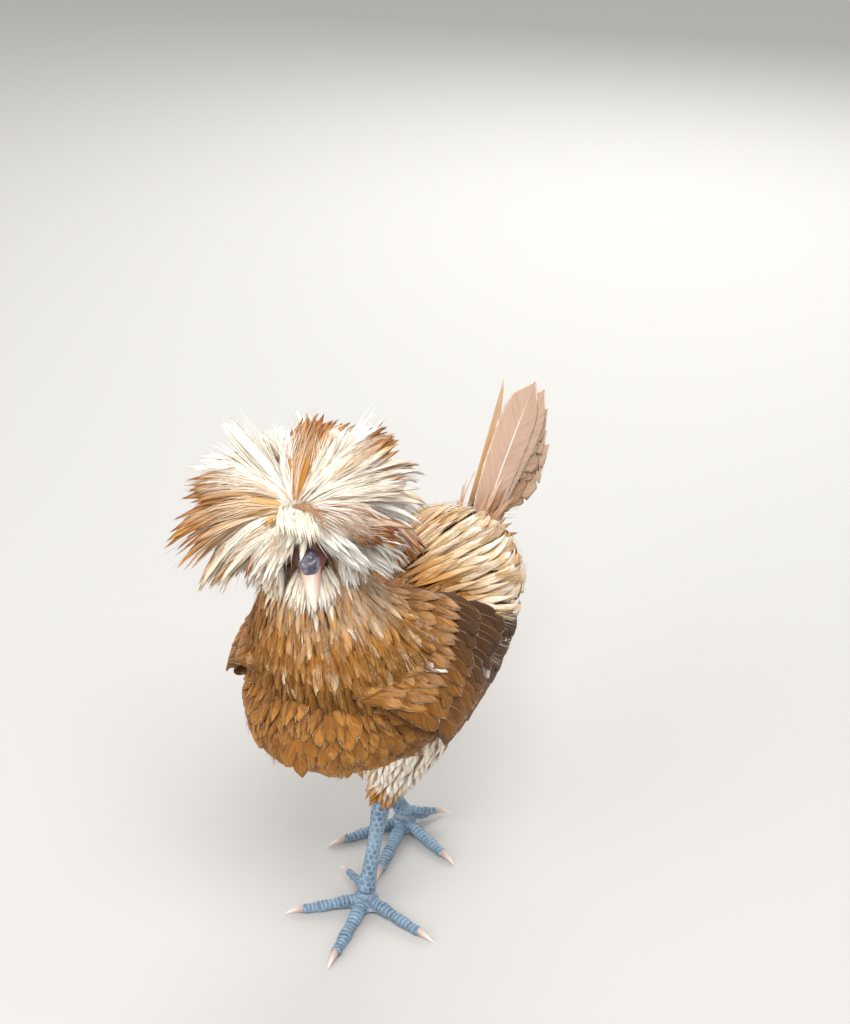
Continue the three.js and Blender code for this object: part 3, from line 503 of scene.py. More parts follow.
def torn_shape(shape, draw, k):
    worn = [w * draw.uniform(0.5, 1.05) if 0 < i < 7 else w for i, w in enumerate(OUTLINES["tail"])]
    shape.vane_web(worn, 44, 12, 0.04, 0.95, draw, rounding=0.86, gaps=12, slope=0.2)
    shape.loose_barbs(40, OUTLINES["tail"], draw, 0.016, 0.1, 0.2, 0.6)


# The tree that grows feathers: it sets a shape on each root and bends it along that root's own path


class Fields:
    """Short calls that add nodes to a tree and wire them."""

    def __init__(self, tree):
        self.tree = tree

    def node(self, kind, **settings):
        made = self.tree.nodes.new(kind)
        for key, value in settings.items():
            setattr(made, key, value)
        return made

    def fed(self, kind, values, **settings):
        return self.feed(self.node(kind, **settings), values)

    def feed(self, node, values):
        for name, value in values.items():
            self.put(node.inputs[name], value)
        return node

    def put(self, socket, value):
        if isinstance(value, bpy.types.NodeSocket):
            self.tree.links.new(value, socket)
        else:
            socket.default_value = value

    def named(self, name, kind="FLOAT_VECTOR"):
        made = self.node("GeometryNodeInputNamedAttribute", data_type=kind)
        made.inputs["Name"].default_value = name
        return next(o for o in made.outputs if o.enabled and o.name == "Attribute")

    def stored(self, before, name, value, kind, domain):
        made = self.fed("GeometryNodeStoreNamedAttribute", {"Geometry": before.outputs["Geometry"], "Name": name},
                        data_type=kind, domain=domain)
        self.put(next(i for i in made.inputs if i.enabled and i.name == "Value"), value)
        return made

    def vector(self, operation, *values):
        made = self.node("ShaderNodeVectorMath", operation=operation)
        for socket, value in zip(made.inputs, values):
            self.put(socket, value)
        return made.outputs["Vector"]

    def scaled(self, way, factor):
        return self.fed("ShaderNodeVectorMath", {0: way, "Scale": factor}, operation="SCALE").outputs["Vector"]

    def split(self, way):
        """The three numbers of a vector."""
        return self.fed("ShaderNodeSeparateXYZ", {0: way}).outputs

    def joined(self, x, y, z=0.0):
        return self.fed("ShaderNodeCombineXYZ", {"X": x, "Y": y, "Z": z}).outputs[0]

    def number(self, operation, *values):
        made = self.node("ShaderNodeMath", operation=operation)
        for socket, value in zip(made.inputs, values):
            self.put(socket, value)
        return made.outputs[0]

    def times(self, a, b):
        return self.number("MULTIPLY", a, b)

    def total(self, *parts):
        made = parts[0]
        for part in parts[1:]:
            made = self.vector("ADD", made, part)
        return made


MOST_SHAPES = 60


def feather_tree():
    tree = bpy.data.node_groups.new("Grow feathers", "GeometryNodeTree")
    sockets = tree.interface
    for name, kind, first in (
        ("Roots", "NodeSocketGeometry", None),
        ("Feather shapes", "NodeSocketCollection", None),
        ("Thickness", "NodeSocketFloat", 0.0005),
        ("Camber", "NodeSocketFloat", 0.2),
        ("Bake patch", "NodeSocketFloat", 0.003),
        ("Seed", "NodeSocketInt", 1),
        ("Finish", "NodeSocketMaterial", None),
    ):
        made = sockets.new_socket(name, in_out="INPUT", socket_type=kind)
        if first is not None:
            made.default_value = first
    sockets.new_socket("Feathers", in_out="OUTPUT", socket_type="NodeSocketGeometry")
    f = Fields(tree)
    given = f.node("NodeGroupInput").outputs
    shapes = f.fed("GeometryNodeCollectionInfo", {
        "Collection": given["Feather shapes"], "Separate Children": True, "Reset Children": True})
    pick = f.fed("FunctionNodeRandomValue", {"Seed": given["Seed"]}, data_type="INT")
    for end, value in zip((i for i in pick.inputs if i.enabled and i.name in ("Min", "Max")), (0, MOST_SHAPES)):
        f.put(end, value)
    picked = next(o for o in pick.outputs if o.enabled)
    spread = f.fed("GeometryNodeInstanceOnPoints", {
        "Points": given["Roots"], "Instance": shapes.outputs["Instances"], "Pick Instance": True,
        "Instance Index": picked})
    real = f.fed("GeometryNodeRealizeInstances", {"Geometry": spread.outputs["Instances"]})

    # The bend: root + way t + bend t^2, with the face turning from the root's to the tip's
    across, t, out = f.split(f.named("place"))
    way, bend = f.named("way"), f.named("bend")
    path = f.total(f.named("root"), f.scaled(way, t), f.scaled(bend, f.times(t, t)))
    ahead = f.vector("NORMALIZE", f.vector("ADD", way, f.scaled(bend, f.times(t, 2.0))))
    facing = f.total(f.scaled(f.named("face_root"), f.number("SUBTRACT", 1.0, t)), f.scaled(f.named("face_tip"), t))
    side = f.vector("NORMALIZE", f.vector("CROSS_PRODUCT", ahead, facing))
    face = f.vector("CROSS_PRODUCT", side, ahead)
    twist = f.times(f.named("twist", "FLOAT"), t)
    turned_side = f.total(f.scaled(side, f.number("COSINE", twist)), f.scaled(face, f.number("SINE", twist)))
    turned_face = f.vector("CROSS_PRODUCT", turned_side, ahead)
    sideways = f.times(across, f.times(f.named("width", "FLOAT"), 0.5))
    bulge = f.times(f.times(across, sideways), given["Camber"])
    lift = f.number("SUBTRACT", f.times(out, given["Thickness"]), f.times(bulge, f.named("cup", "FLOAT")))
    moved = f.total(path, f.scaled(turned_side, sideways), f.scaled(turned_face, lift))
    bent = f.fed("GeometryNodeSetPosition", {"Geometry": real.outputs["Geometry"], "Position": moved})

    # The way that the coat as a whole faces here, for its soft shading
    soft = f.stored(bent, "coat_faces", f.vector("NORMALIZE", facing), "FLOAT_VECTOR", "POINT")

    # The bake map: each feather is a small patch at its root's place
    vane = f.named("vane")
    flat = f.vector("MULTIPLY", f.vector("MULTIPLY_ADD", vane, (0.5, 1.0, 0.0), (0.0, -0.5, 0.0)), (1, 1, 0))
    map_place = f.vector("ADD", f.named("root_map"), f.scaled(flat, given["Bake patch"]))
    mapped = f.stored(soft, "OFBake", map_place, "FLOAT2", "CORNER")
    shade = f.fed("GeometryNodeSetShadeSmooth", {"Geometry": mapped.outputs["Geometry"]})
    paint = f.fed("GeometryNodeSetMaterial", {"Geometry": shade.outputs["Geometry"], "Material": given["Finish"]})
    f.fed("NodeGroupOutput", {"Feathers": paint.outputs["Geometry"]})
    return tree


GROW = feather_tree()


def give(modifier, name, value):
    socket = next(s for s in GROW.interface.items_tree if s.name == name and s.in_out == "INPUT")
    modifier[socket.identifier] = value


class Feather:
    """A path on the body, a width, the colours at root and tip, and its own small differences. Millimetres."""

    def __init__(self, path, width, colours, at, tone, twist=0.0, cup=1.0, lace=1.0):
        self.root, self.way, self.bend, self.face_root, self.face_tip = path
        self.ground, self.tip = colours
        self.width, self.map, self.tone, self.twist, self.cup, self.lace = width, at, tone, twist, cup, lace

    def copy(self):
        path = self.root, self.way, self.bend, self.face_root, self.face_tip
        return Feather(path, self.width, (self.ground, self.tip), self.map, self.tone, self.twist, self.cup, self.lace)


def grow(name, feathers, shapes, finish, slot, nodes, thickness, camber):
    """One coat piece, grown from a list of feathers."""
    mesh = bpy.data.meshes.new(name)
    roots = [in_metres(x.root) for x in feathers]
    mesh.from_pydata(roots, [], [])
    store_ways(mesh, "root", roots)
    for key in ("way", "bend"):
        store_ways(mesh, key, [getattr(x, key) * MM for x in feathers])
    for key in ("face_root", "face_tip", "ground", "tip"):
        store_ways(mesh, key, [getattr(x, key) for x in feathers])
    store_ways(mesh, "root_map", [(x.map[0], x.map[1], 0.0) for x in feathers])
    store(mesh, "width", [x.width * MM for x in feathers])
    for key in ("twist", "cup", "tone", "lace"):
        store(mesh, key, [getattr(x, key) for x in feathers])
    coat = bpy.data.objects.new(name, mesh)
    bpy.context.scene.collection.objects.link(coat)
    modifier = coat.modifiers.new("Grow feathers", "NODES")
    modifier.node_group = GROW
    give(modifier, "Feather shapes", shapes)
    give(modifier, "Thickness", thickness * MM)
    give(modifier, "Camber", camber)
    give(modifier, "Seed", 1)
    give(modifier, "Finish", finish)
    grown = bpy.data.meshes.new_from_object(coat.evaluated_get(bpy.context.evaluated_depsgraph_get()))
    coat.modifiers.remove(modifier)
    coat.data = grown
    bpy.data.meshes.remove(mesh)
    grown.name = name
    for key in ("root", "way", "bend", "face_root", "face_tip", "width", "twist", "cup", "root_map", "place"):
        grown.attributes.remove(grown.attributes[key])
    settle(coat, slot, finish, *nodes)


# Colours, linear

WHITE = Vector((0.95, 0.9, 0.83))
CREAM = Vector((0.88, 0.75, 0.58))
STRAW = Vector((0.68, 0.46, 0.24))
GOLD = Vector((0.54, 0.25, 0.055))
GINGER = Vector((0.36, 0.135, 0.02))
BROWN_GINGER = Vector((0.22, 0.085, 0.014))
RUST = Vector((0.27, 0.07, 0.012))
BROWN = Vector((0.12, 0.043, 0.012))
BUFF = Vector((0.47, 0.26, 0.135))
PINK_BUFF = Vector((0.68, 0.46, 0.34))
GREY_CREAM = Vector((0.6, 0.54, 0.46))
IVORY = Vector((0.95, 0.87, 0.74))


def blend(a, b, t):
    return a.lerp(b, clamp(t))


# Materials


def add_group_socket(tree, name, way, kind, first=None):
    made = tree.interface.new_socket(name, in_out=way, socket_type=kind)
    if first is not None:
        made.default_value = first


def ramp_between(f, value, low, high):
    values = {"Value": value, "From Min": low, "From Max": high}
    return f.fed("ShaderNodeMapRange", values, interpolation_type="SMOOTHSTEP").outputs["Result"]


def mixed(f, share, a, b):
    made = f.fed("ShaderNodeMix", {"Factor": share}, data_type="RGBA")
    colours = [i for i in made.inputs if i.enabled and i.name in "AB"]
    f.put(colours[0], a)
    f.put(colours[1], b)
    return next(o for o in made.outputs if o.enabled)


def attribute(f, name, output="Vector"):
    return f.node("ShaderNodeAttribute", attribute_name=name).outputs[output]


def noise_of(f, place, scale, detail=3.0, rough=0.6):
    values = {"Vector": place, "Scale": scale, "Detail": detail, "Roughness": rough}
    return f.fed("ShaderNodeTexNoise", values).outputs["Fac"]


def vane_group():
    """The look of a feather's web: barbs, a shaft, lacing round its rim and a difference from feather to feather."""
    tree = bpy.data.node_groups.new("Feather web", "ShaderNodeTree")
    for name, kind, first in (
        ("Lacing", "NodeSocketColor", (0.8, 0.7, 0.55, 1)),
        ("Lacing starts", "NodeSocketFloat", 0.7),
        ("Shaft", "NodeSocketColor", (0.8, 0.7, 0.6, 1)),
        ("Shaft width", "NodeSocketFloat", 0.06),
        ("Streaks", "NodeSocketFloat", 0.3),
        ("Barbs along", "NodeSocketFloat", 60.0),
        ("Barb slope", "NodeSocketFloat", 0.25),
        ("Tip starts", "NodeSocketFloat", 0.4),
        ("Variation", "NodeSocketFloat", 0.3),
    ):
        add_group_socket(tree, name, "INPUT", kind, first)
    add_group_socket(tree, "Colour", "OUTPUT", "NodeSocketColor")
    add_group_socket(tree, "Relief", "OUTPUT", "NodeSocketFloat")
    f = Fields(tree)
    given = f.node("NodeGroupInput").outputs
    across, t, rim = f.split(attribute(f, "vane"))
    wide = f.number("ABSOLUTE", across)
    tone = attribute(f, "tone", "Fac")
    barb = f.number("SUBTRACT", t, f.times(wide, given["Barb slope"]))
    place = f.joined(f.times(barb, given["Barbs along"]), f.times(across, 1.3),
                     f.times(tone, 71.0))
    streak = noise_of(f, place, 1.0, 4.0, 0.7)
    split = noise_of(f, f.scaled(place, 0.23), 1.0, 2.0)
    shift = f.times(f.number("SUBTRACT", f.number("ADD", streak, split), 1.0), 0.8)
    tipped = ramp_between(
        f, f.number("ADD", t, shift), given["Tip starts"], f.number("ADD", given["Tip starts"], 0.45)
    )
    web = mixed(f, tipped, attribute(f, "ground"), attribute(f, "tip"))
    value = f.number(
        "ADD",
        f.number("MULTIPLY_ADD", f.number("SUBTRACT", streak, 0.5), f.times(given["Streaks"], 3.0), 1.0),
        f.times(f.number("SUBTRACT", tone, 0.5), given["Variation"]),
    )
    webbed = f.scaled(web, value)
    edge = f.number("ADD", rim, f.times(f.number("SUBTRACT", split, 0.5), 0.22))
    laced = f.number(
        "MULTIPLY",
        ramp_between(f, edge, given["Lacing starts"], f.number("ADD", given["Lacing starts"], 0.1)),
        attribute(f, "lace", "Fac"),
    )
    colour = mixed(f, laced, webbed, given["Lacing"])
    shaft = ramp_between(f, wide, given["Shaft width"], f.times(given["Shaft width"], 0.4))
    shaft = f.times(f.times(shaft, ramp_between(f, t, 1.0, 0.6)), attribute(f, "lace", "Fac"))
    colour = mixed(f, shaft, colour, given["Shaft"])
    f.fed("NodeGroupOutput", {"Colour": colour, "Relief": streak})
    return tree


WEB = vane_group()


def start_material(name):
    finish = bpy.data.materials.new(name)
    finish.use_nodes = True
    finish.node_tree.nodes.clear()
    f = Fields(finish.node_tree)
    shader = f.node("ShaderNodeBsdfPrincipled")
    f.fed("ShaderNodeOutputMaterial", {"Surface": shader.outputs["BSDF"]})
    return finish, f, shader


def bumped(f, shader, height, strength, distance, normal=None):
    bump = f.fed("ShaderNodeBump", {"Strength": strength, "Distance": distance, "Height": height})
    if normal:
        f.put(bump.inputs["Normal"], normal)
    f.put(shader.inputs["Normal"], bump.outputs["Normal"])


def four(colour):
    return (colour[0], colour[1], colour[2], 1.0)


def soft_group():
    """Turns the shading of each feather part of the way to that of the whole coat."""
    tree = bpy.data.node_groups.new("Soft coat", "ShaderNodeTree")
    add_group_socket(tree, "Softness", "INPUT", "NodeSocketFloat", 0.7)
    add_group_socket(tree, "Normal", "OUTPUT", "NodeSocketVector")
    f = Fields(tree)
    given = f.node("NodeGroupInput").outputs
    own = f.node("ShaderNodeNewGeometry").outputs["Normal"]
    coat = attribute(f, "coat_faces")
    dot = f.fed("ShaderNodeVectorMath", {0: own, 1: coat}, operation="DOT_PRODUCT")
    side = f.number("SIGN", dot.outputs["Value"])
    turned = f.vector("ADD", f.scaled(coat, f.times(side, given["Softness"])),
                      f.scaled(own, f.number("SUBTRACT", 1.0, given["Softness"])))
    f.fed("NodeGroupOutput", {"Normal": f.vector("NORMALIZE", turned)})
    return tree


SOFT = soft_group()


def feather_finish(name, roughness=0.65, sheen=0.0, relief=0.25, softness=0.35, **values):
    finish, f, shader = start_material(name)
    web = f.fed("ShaderNodeGroup", {
        key.replace("_", " ").capitalize(): four(value) if isinstance(value, Vector) else value
        for key, value in values.items()}, node_tree=WEB)
    f.put(shader.inputs["Base Color"], web.outputs["Colour"])
    soft = f.fed("ShaderNodeGroup", {"Softness": softness}, node_tree=SOFT)
    bumped(f, shader, web.outputs["Relief"], relief, 0.0004, soft.outputs["Normal"])
    f.feed(shader, {"Roughness": roughness, "Sheen Weight": sheen, "Specular IOR Level": 0.16})
    return finish


BODY_FINISH = feather_finish("laced body feathers", lacing=CREAM * 0.85, lacing_starts=0.9, shaft=BUFF,
                             shaft_width=0.03, streaks=0.4, barbs_along=22, barb_slope=0.4, tip_starts=0.45,
                             variation=0.25)
HACKLE_FINISH = feather_finish("hackle feathers", lacing=STRAW, lacing_starts=0.9, shaft=STRAW, shaft_width=0.06,
                               streaks=0.4, barbs_along=16, barb_slope=0.3, tip_starts=0.3, variation=0.3)
CREST_FINISH = feather_finish("crest feathers", lacing=WHITE, lacing_starts=1.5, shaft=BROWN_GINGER,
                              shaft_width=0.03, streaks=0.16, barbs_along=20, barb_slope=0.35, tip_starts=0.55,
                              variation=0.12)
DOWN_FINISH = feather_finish("down and beard", lacing=WHITE, lacing_starts=1.5, shaft=WHITE, shaft_width=0.05,
                             streaks=0.2, barbs_along=14, barb_slope=0.3, tip_starts=0.3, variation=0.2,
                             roughness=0.8)
WING_FINISH = feather_finish("laced wing feathers", lacing=CREAM * 0.75, lacing_starts=0.945, shaft=BUFF,
                             shaft_width=0.02, streaks=0.45, barbs_along=40, barb_slope=0.3, tip_starts=0.6,
                             variation=0.5, roughness=0.62, softness=0.4, relief=0.4)
TAIL_FINISH = feather_finish("tail feathers", lacing=WHITE, lacing_starts=0.93, shaft=WHITE, shaft_width=0.045,
                             streaks=0.3, barbs_along=70, barb_slope=0.16, tip_starts=0.5, variation=0.25,
                             roughness=0.45, softness=0.4)


# Paths on the body


def through_three(a, middle, b):
    """The way and bend of a path from a, by a middle place, to b."""
    return middle * 4 - a * 3 - b, a * 2 - middle * 4 + b * 2


def laid(surface, start, end, lifts, bow=0.0):
    """A path on a surface from one place to another, given how far it lifts off at root, middle and tip."""
    points, faces = [], []
    for t, lift in zip((0, 0.5, 1), lifts):
        p, n = surface(mix(start[0], end[0], t), mix(start[1], end[1], t) + bow * 4 * t * (1 - t), lift)
        points.append(p)
        faces.append(n)
    way, bend = through_three(*points)
    return points[0], way, bend, faces[0], faces[2]


def flowing(root, normal, flow, length, rise, curve, draw, spread=0.08):
    """A path that leaves a root along the flow of the coat, lifts off it, and then follows its curve."""
    flat = (flow - normal * flow.dot(normal)).normalized()
    side = normal.cross(flat)
    flat = (flat + side * draw.gauss(0, spread)).normalized()
    way = flat * length + normal * rise * 2.0
    bend = normal * (-rise - length * length / (2 * curve)) - flat * (0.02 * length)
    return root, way, bend, normal.copy(), (normal + flat * (length / curve)).normalized()


def trunk_flow(p):
    """The way that the coat lies on the trunk."""
    front = smooth(-p.y, 70, 108)
    low = smooth(150 - p.z, 0, 30)
    return Vector((0, 1 - 0.75 * front, -0.42 - 1.1 * front + 0.42 * low)).normalized()


def neck_flow(p):
    """The way that the hackle lies: down the neck, and back over the shoulders."""
    back = smooth(p.y, -72, -40)
    return Vector((0.006 * p.x, 0.2 + 1.3 * back, -1.0)).normalized()


# Coats of the trunk and the neck


def breast_colours(p, draw):
    """Ginger brown, darker and redder on the bird's right as painted shade, paler and greyer down under the belly."""
    belly = smooth(146 - p.z, 0, 24)
    patch = 0.5 + 0.6 * noise.noise(p * 0.035)
    # Painted shade: the bird's right, turned away from the key light, is made darker and redder.
    right_shade = smooth(-p.x, 10, 45)
    ground = blend(blend(BROWN_GINGER, GINGER, patch) * 0.75, BROWN_GINGER * 0.9, 0.5 * right_shade)
    ground = blend(blend(ground, BUFF, 0.35 * smooth(178 - p.z, 0, 45)), CREAM, 0.7 * belly)
    if draw.random() < 0.12:
        ground = blend(ground, BROWN, 0.5 * (1 - belly))
    tip = blend(ground, GOLD, 0.2 + 0.5 * draw.random())
    return ground, tip


ROW_SPACING = 5.0
NECK_ROWS = 27
CAPE_FEATHERS = 430


def trunk_rows():
    """Places along the trunk that lie evenly over its surface."""
    rows, gone, last = [], ROW_SPACING / 2, None
    for k in range(1001):
        top, bottom, half, _ = trunk_section(mix(TRUNK["y"][0], TRUNK["y"][-1], k / 1000))
        here = Vector((TRUNK_LENGTH * k / 1000, (half + (top - bottom) / 2) / 2))
        gone += (here - last).length if last else 0
        last = here
        if gone >= ROW_SPACING:
            rows.append(k / 1000)
            gone = 0
    return rows


def trunk_coat():
    """Small feathers in staggered rows, sorted by the side of the trunk that they are on."""
    draw = random.Random(11)
    sides = {"breast": [], "back": [], "left_side": [], "right_side": [], "belly": [], "fringe": []}
    rows = trunk_rows()
    for r, s in enumerate(rows):
        top, bottom, half, _ = trunk_section(mix(TRUNK["y"][0], TRUNK["y"][-1], s))
        count = max(7, int(math.pi * (half + (top - bottom) / 2) / (ROW_SPACING * 1.1)))
        for i in range(count):
            angle = (360 * (i + 0.5 * (r % 2) + draw.uniform(-0.25, 0.25)) / count) % 360
            from_back = abs(((angle - 90 + 180) % 360) - 180)
            under_wing = 0.2 < s < 0.47 and 40 < from_back < 100
            under_saddle = 0.55 < s < 0.85 and from_back < 62
            if under_wing or under_saddle or from_back > 150 and draw.random() < 0.25:
                continue
            root, n = trunk_point(clamp(s + draw.uniform(-0.3, 0.3) / len(rows), 0.004, 0.996), angle, -2.0)
            if in_neck(root) < 0.86:
                continue
            path = flowing(root, n, trunk_flow(root), draw.uniform(16, 22), draw.uniform(1.1, 1.7), 62, draw, 0.2)
            made = Feather(path, draw.uniform(11.5, 14.5), breast_colours(root, draw), (s, angle / 360),
                           draw.random(), draw.gauss(0, 0.14), draw.uniform(0.4, 1.2),
                           clamp(draw.gauss(0.7, 0.3)) * smooth(root.z, 112, 140))
            side = ("fringe" if s < 0.3 and draw.random() < smooth(root.z, 176, 206) else
                    "back" if from_back < 42 else "belly" if from_back > 150 else
                    "breast" if s < 0.3 else "left_side" if angle < 90 or angle > 270 else "right_side")
            sides[side].append(made)
    return sides


def hackle_colours(p, draw):
    """Fine golden and cream strands over brown, darker and redder on the bird's right as painted shade, and greyer
    under the beard.
    """
    patch = 0.5 + 0.5 * noise.noise(p * 0.05)
    # Painted shade: the bird's right, turned away from the key light, is darker and redder, with fewer pale tips.
    right_shade = smooth(-p.x, 5, 45)
    high = smooth(p.z, 198, 248)
    ground = blend(BROWN_GINGER, GINGER, clamp(patch + 0.4 * right_shade + 0.4 * high)) * mix(0.46, 0.9, high)
    ground = blend(ground, GOLD, 0.4 * high * draw.random())
    ground = blend(ground, GREY_CREAM, 0.5 * smooth(p.z, 236, 262) * (1 - right_shade))
    ground = blend(ground, blend(BROWN_GINGER, GINGER, 0.3 * draw.random()) * 0.85, right_shade)
    tip = blend(ground, GOLD, (0.1 + 0.7 * high) * (1 - 0.6 * right_shade))
    tip = blend(tip, STRAW, 0.6 * high * (1 - right_shade) * draw.random())
    if draw.random() < 0.2 * (1 - 0.8 * right_shade) * high:
        tip = blend(CREAM, STRAW, draw.random())
        ground = blend(ground, STRAW, 0.4)
    return ground, tip


def neck_coat():
    """Hackles in staggered rows, from the shoulders to the skull."""
    draw = random.Random(12)
    feathers = []
    for r in range(NECK_ROWS):
        s = (r + 0.5) / NECK_ROWS
        girth = math.pi * (through([k["side"] for k in NECK], s) + through([k["front"] for k in NECK], s))
        count = max(14, int(girth / 4.9))
        for i in range(count):
            angle = 360 * (i + 0.5 * (r % 2) + draw.uniform(-0.3, 0.3)) / count
            root, n = neck_point(clamp(s + draw.uniform(-0.5, 0.5) / NECK_ROWS, 0.01, 0.99), angle, -2.2)
            if in_trunk(root) < 0.9:
                continue
            length = mix(24, 21, s) * draw.uniform(0.85, 1.2)
            path = flowing(root, n, neck_flow(root), length, draw.uniform(1.3, 2.2), mix(50, 95, s), draw, 0.13)
            feathers.append(Feather(path, draw.uniform(6.5, 9), hackle_colours(root, draw), (s, (angle % 360) / 360),
                                    draw.random(), draw.gauss(0, 0.22), draw.uniform(0.2, 1.2), 0.35))
    return feathers


def cape_coat():
    """Long hackles that lie from the neck over the shoulders and the upper wing."""
    draw = random.Random(21)
    feathers = []
    for _ in range(CAPE_FEATHERS):
        s = draw.uniform(0.15, 0.52)
        angle = 90 + draw.uniform(-1, 1) * mix(66, 46, s / 0.5)
        root, n = trunk_point(s, angle, 1.5 if abs(angle - 90) > 30 else -3.0)
        if in_neck(root) < 0.8:
            continue
        outer = smooth(abs(angle - 90), 25, 60)
        path = flowing(root, n, trunk_flow(root), draw.uniform(30, 42), 3.4 + 2.2 * outer, 75, draw, 0.15)
        ground = blend(GINGER, BROWN_GINGER, draw.random())
        tip = blend(GOLD, BUFF, draw.random())
        if draw.random() < 0.16:
            ground, tip = blend(ground, STRAW, 0.5), blend(STRAW, CREAM, draw.random())
        feathers.append(Feather(path, draw.uniform(7, 10.5), (ground, tip), (s, angle / 360), draw.random(),
                                draw.gauss(0, 0.15), draw.uniform(0.3, 1.2), 0.4))
    return feathers


# The crest: plumes that part at a whorl over the forehead and sweep away from it on all sides

CREST_CENTRE = (-3, 0, 12)
CREST_LOCKS = 110
CREST_PLUMES = 1950
PLUME_LENGTH = 68
CUSHION_RADIUS = 16.5
HAIR_SHARE = 0.42
CREST_RISES = (-20, -6, 7, 20, 34, 48, 63, 79)
CREST_LENGTHS = (62, 60, 58, 57, 54, 50, 46, 42)
WHORL = Vector((0.12, -0.79, 0.6)).normalized()
WHORL_LEFT = UP.cross(WHORL).normalized()
WHORL_TOP = WHORL.cross(WHORL_LEFT)
HEAD_BACK = HEAD_WAYS.inverted()

# Round the whorl, from the bird's left (0) over the top (90): colours at root and tip, and the share of rusty tufts
CREST_MARKS = (
    (-180, IVORY, GOLD, 0.4),
    (-172, STRAW, GOLD, 0.8),
    (-150, STRAW, GOLD, 0.75),
    (-138, IVORY, STRAW, 0.35),
    (-125, IVORY, IVORY, 0.04),
    (-90, CREAM, IVORY, 0.02),
    (-60, IVORY, WHITE, 0.04),
    (-42, WHITE, WHITE, 0.02),
    (-28, WHITE, WHITE, 0.12),
    (-12, WHITE, WHITE, 0.3),
    (0, WHITE, WHITE, 0.4),
    (10, WHITE, WHITE, 0.25),
    (18, IVORY, STRAW, 0.3),
    (30, IVORY, WHITE, 0.1),
    (38, IVORY, GOLD, 0.6),
    (54, IVORY, GOLD, 0.8),
    (60, IVORY, WHITE, 0.05),
    (72, IVORY, WHITE, 0.1),
    (78, IVORY, GOLD, 0.6),
    (84, IVORY, STRAW, 0.1),
    (88, GOLD, GINGER, 1.0),
    (102, GOLD, GINGER, 1.0),
    (107, WHITE, WHITE, 0.02),
    (124, IVORY, IVORY, 0.02),
    (140, IVORY, WHITE, 0.02),
    (168, IVORY, IVORY, 0.04),
    (180, IVORY, GOLD, 0.4),
)


def crest_reach(bearing, rise=0.0):
    """The share of its full reach that the crest has on a bearing: short over the face."""
    ahead = max(cosd(bearing), 0) ** 1.5
    return 1 - ahead * (0.74 - 0.5 * clamp(rise / 45))


def turned_on_head(way):
    """The bearing and rise of a way, as the head sees it."""
    own = (HEAD_BACK @ way).normalized()
    return math.degrees(math.atan2(own.y, own.x)), math.degrees(math.asin(clamp(own.z, -1, 1)))


def crest_limit(way):
    """How far from the cushion's middle a plume may reach."""
    bearing, rise = turned_on_head(way)
    length = along(CREST_RISES, CREST_LENGTHS, clamp(rise, -20, 79))
    sides = 5.0 * smooth(abs(sind(bearing)), 0.5, 0.9) * smooth(40 - rise, 0, 40)
    return (15 + sides + length * crest_reach(bearing, rise)) * (1 - 0.1 * smooth(way.normalized().z, 0.5, 0.95))


def over_bill(p):
    """Whether a place hides the nostrils and the bill from in front."""
    own = HEAD_BACK @ (p - Vector(HEAD_AT))
    return own.x > 11 and abs(own.y) < 9.5 and own.z < 17


def crest_colours(azimuth, behind, luck, draw):
    """The marks' colours at a turn round the whorl, rusty where the luck of a lock falls under their share."""
    turn = (azimuth + draw.gauss(0, 3) + 180) % 360 - 180
    low = max(k for k in range(len(CREST_MARKS) - 1) if CREST_MARKS[k][0] <= turn)
    a, b = CREST_MARKS[low], CREST_MARKS[low + 1]
    t = (turn - a[0]) / (b[0] - a[0])
    ground, tip, rusty = blend(a[1], b[1], t), blend(a[2], b[2], t), mix(a[3], b[3], t)
    if luck + draw.gauss(0, 0.06) < mix(rusty, max(rusty, 0.2), behind):
        tip = blend(RUST, GOLD, 0.5 * draw.random())
        ground = blend(ground, GOLD, 0.8 * draw.random())
    elif draw.random() < 0.1:
        ground = blend(ground, GINGER, 0.35)
    return ground, tip


def spread_round_whorl(count, draw=None):
    """Ways spread evenly over a ball from the whorl to the far side, with the way that leads off from the whorl."""
    golden = 180 * (3 - math.sqrt(5))
    for k in range(count):
        theta = math.degrees(math.acos(1 - 2 * (k + 0.5) / count))
        phi = k * golden
        if draw:
            theta, phi = abs(theta + draw.gauss(0, 2.5)), phi + draw.gauss(0, 3)
        round_ = WHORL_LEFT * cosd(phi) + WHORL_TOP * sind(phi)
        yield (WHORL * cosd(theta) + round_ * sind(theta),
               round_ * cosd(theta) - WHORL * sind(theta), theta)


def crest_lean(way, away, theta):
    """The way that a plume takes from its place on the cushion: flat at the whorl, outward at the sides, parted over
    the face and lying down at the back."""
    s = smooth(theta, 8, 90)
    ahead = away * mix(1.0, 0.16, s) + way * mix(0.16, 1.0, s)
    bearing, rise = turned_on_head(way)
    parted = smooth(cosd(bearing), 0.1, 0.9) * smooth(48 - rise, 0, 40)
    ahead += head_way(0, (1 if (HEAD_BACK @ way).y > 0 else -1) * parted, 0.1 * parted)
    return ahead.lerp(away * 0.85 + way * 0.5, smooth(theta, 100, 145)).normalized()


class Lock:
    """Plumes that stand together share a lock's way, length, curl and luck with colour."""

    def __init__(self, way, away, theta, draw):
        self.way, self.luck, self.reach = way, draw.random(), draw.uniform(0.8, 1.04)
        stray = scatter(draw)
        self.ahead = (crest_lean(way, away, theta) + stray * 0.2).normalized()
        self.curl = scatter(draw) * 0.12
        self.tip = None


